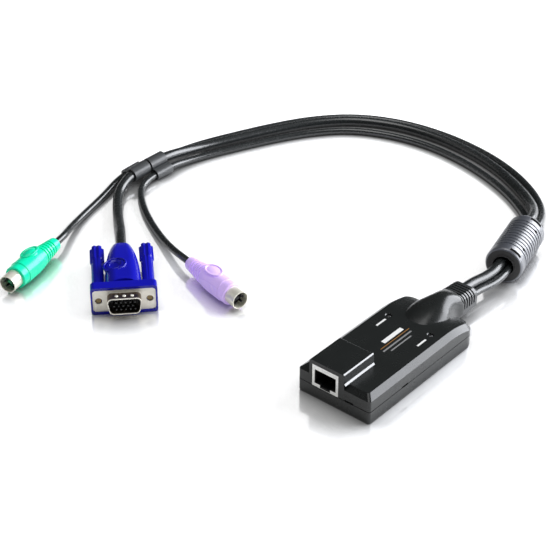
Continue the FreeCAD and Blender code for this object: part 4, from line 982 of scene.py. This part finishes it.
class DONGLE_OT_studio(Operator):
    """The pale floor, the softboxes and the room"""

    bl_idname = "dongle.studio"
    bl_label = "Studio"

    def execute(self, context):
        settings = context.scene.dongle_studio
        bpy.ops.object.select_all(action="DESELECT")
        bpy.ops.mesh.primitive_plane_add(size=FLOOR_SIZE, location=FLOOR_MIDDLE)
        floor = context.object
        floor.name = "studio_floor"
        floor.data.materials.append(self.paper(settings.floor_tone))
        lamps = {name: softbox(name, getattr(settings, name)) for name in SOFTBOXES}
        lamps["back_softbox"].data.color = BACK_TINT
        sheen = bpy.data.collections.new("floor_alone")
        sheen.objects.link(floor)
        lamps["floor_card"].light_linking.receiver_collection = sheen
        room = bpy.data.worlds.new("studio_room")
        room.use_nodes = True
        shade = room.node_tree.nodes["Background"]
        shade.inputs["Color"].default_value = (1, 1, 1, 1)
        shade.inputs["Strength"].default_value = settings.room
        context.scene.world = room
        context.scene.view_settings.view_transform = "Standard"
        return {"FINISHED"}

    def paper(self, tone):
        """Matt white paper that shows as a white background but keeps the shadows. A
        painted contact shadow darkens its colour and glow near the object, where it
        also mirrors softly."""
        f = Finish("floor_paper")
        rays = f.node("ShaderNodeLightPath")
        to_eye = f.field(rays, "Is Camera Ray")
        seen = (
            to_eye
            + f.field(rays, "Is Glossy Ray") * 0.4
            + f.field(rays, "Is Transmission Ray")
        )
        fibre = f.noise(2 * MM, 3)
        # Painted shade: the paper's colour and glow darken near the object, as a
        # contact shadow.
        open_sky = f.ramp(f.openness(8 * MM), (0.25, 0.1), (0.95, 1))
        matt = f.node(
            "ShaderNodeBsdfPrincipled",
            {},
            {
                "Base Color": f.blend(open_sky, (0.1, 0.1, 0.1), (tone, tone, tone)),
                "Roughness": 0.4 + fibre * 0.05,
                "IOR": 1.35,
            },
        )
        painted_glow = f.node(
            "ShaderNodeEmission",
            {},
            {"Color": f.blend(seen * open_sky, (0, 0, 0), (0.4, 0.4, 0.4))},
        )
        both = f.node("ShaderNodeAddShader", {}, {0: f.field(matt), 1: f.field(painted_glow)})
        mirror = f.node("ShaderNodeBsdfGlossy", {}, {"Roughness": 0.13})
        beside = f.ramp(f.openness(40 * MM), (0.78, 1), (0.99, 0))
        floor = f.node(
            "ShaderNodeMixShader",
            {},
            {0: to_eye * beside * 0.6, 1: f.field(both), 2: f.field(mirror)},
        )
        f.tree.links.new(floor.outputs[0], f.output.inputs["Surface"])
        return f.material


OPERATORS = (
    DONGLE_OT_camera,
    DONGLE_OT_cables,
    DONGLE_OT_housing,
    DONGLE_OT_block_trim,
    DONGLE_OT_print,
    DONGLE_OT_network_jack,
    DONGLE_OT_ferrite,
    DONGLE_OT_clips,
    DONGLE_OT_video_plug,
    DONGLE_OT_round_plugs,
    DONGLE_OT_cable_ends,
    DONGLE_OT_studio,
)


class DONGLE_PT_pieces(Panel):
    """The dongle's pieces, sizes and colours"""

    bl_idname = "DONGLE_PT_pieces"
    bl_label = "Dongle"
    bl_space_type = "VIEW_3D"
    bl_region_type = "UI"
    bl_category = "Dongle"

    def draw(self, context):
        for group in SETTINGS:
            holder = getattr(context.scene, group)
            for name in holder.__annotations__:
                self.layout.prop(holder, name)
        for operator in OPERATORS:
            self.layout.operator(operator.bl_idname)


SETTINGS = {
    "dongle_colours": DongleColours,
    "dongle_cables": CableSizes,
    "dongle_studio": StudioSettings,
}


def register():
    for made in (*SETTINGS.values(), *OPERATORS, DONGLE_PT_pieces):
        bpy.utils.register_class(made)
    for name, group in SETTINGS.items():
        setattr(bpy.types.Scene, name, PointerProperty(type=group))


def unregister():
    for name in SETTINGS:
        delattr(bpy.types.Scene, name)
    for made in (DONGLE_PT_pieces, *reversed(OPERATORS), *SETTINGS.values()):
        bpy.utils.unregister_class(made)


def main():
    register()
    bpy.ops.dongle.camera()
    bpy.ops.dongle.cables()
    bpy.ops.dongle.housing()
    bpy.ops.dongle.block_trim()
    bpy.ops.dongle.print()
    bpy.ops.dongle.network_jack()
    bpy.ops.dongle.ferrite()
    bpy.ops.dongle.clips()
    bpy.ops.dongle.video_plug()
    bpy.ops.dongle.round_plugs()
    bpy.ops.dongle.cable_ends()
    bpy.ops.dongle.studio()


if __name__ == "__main__":
    main()
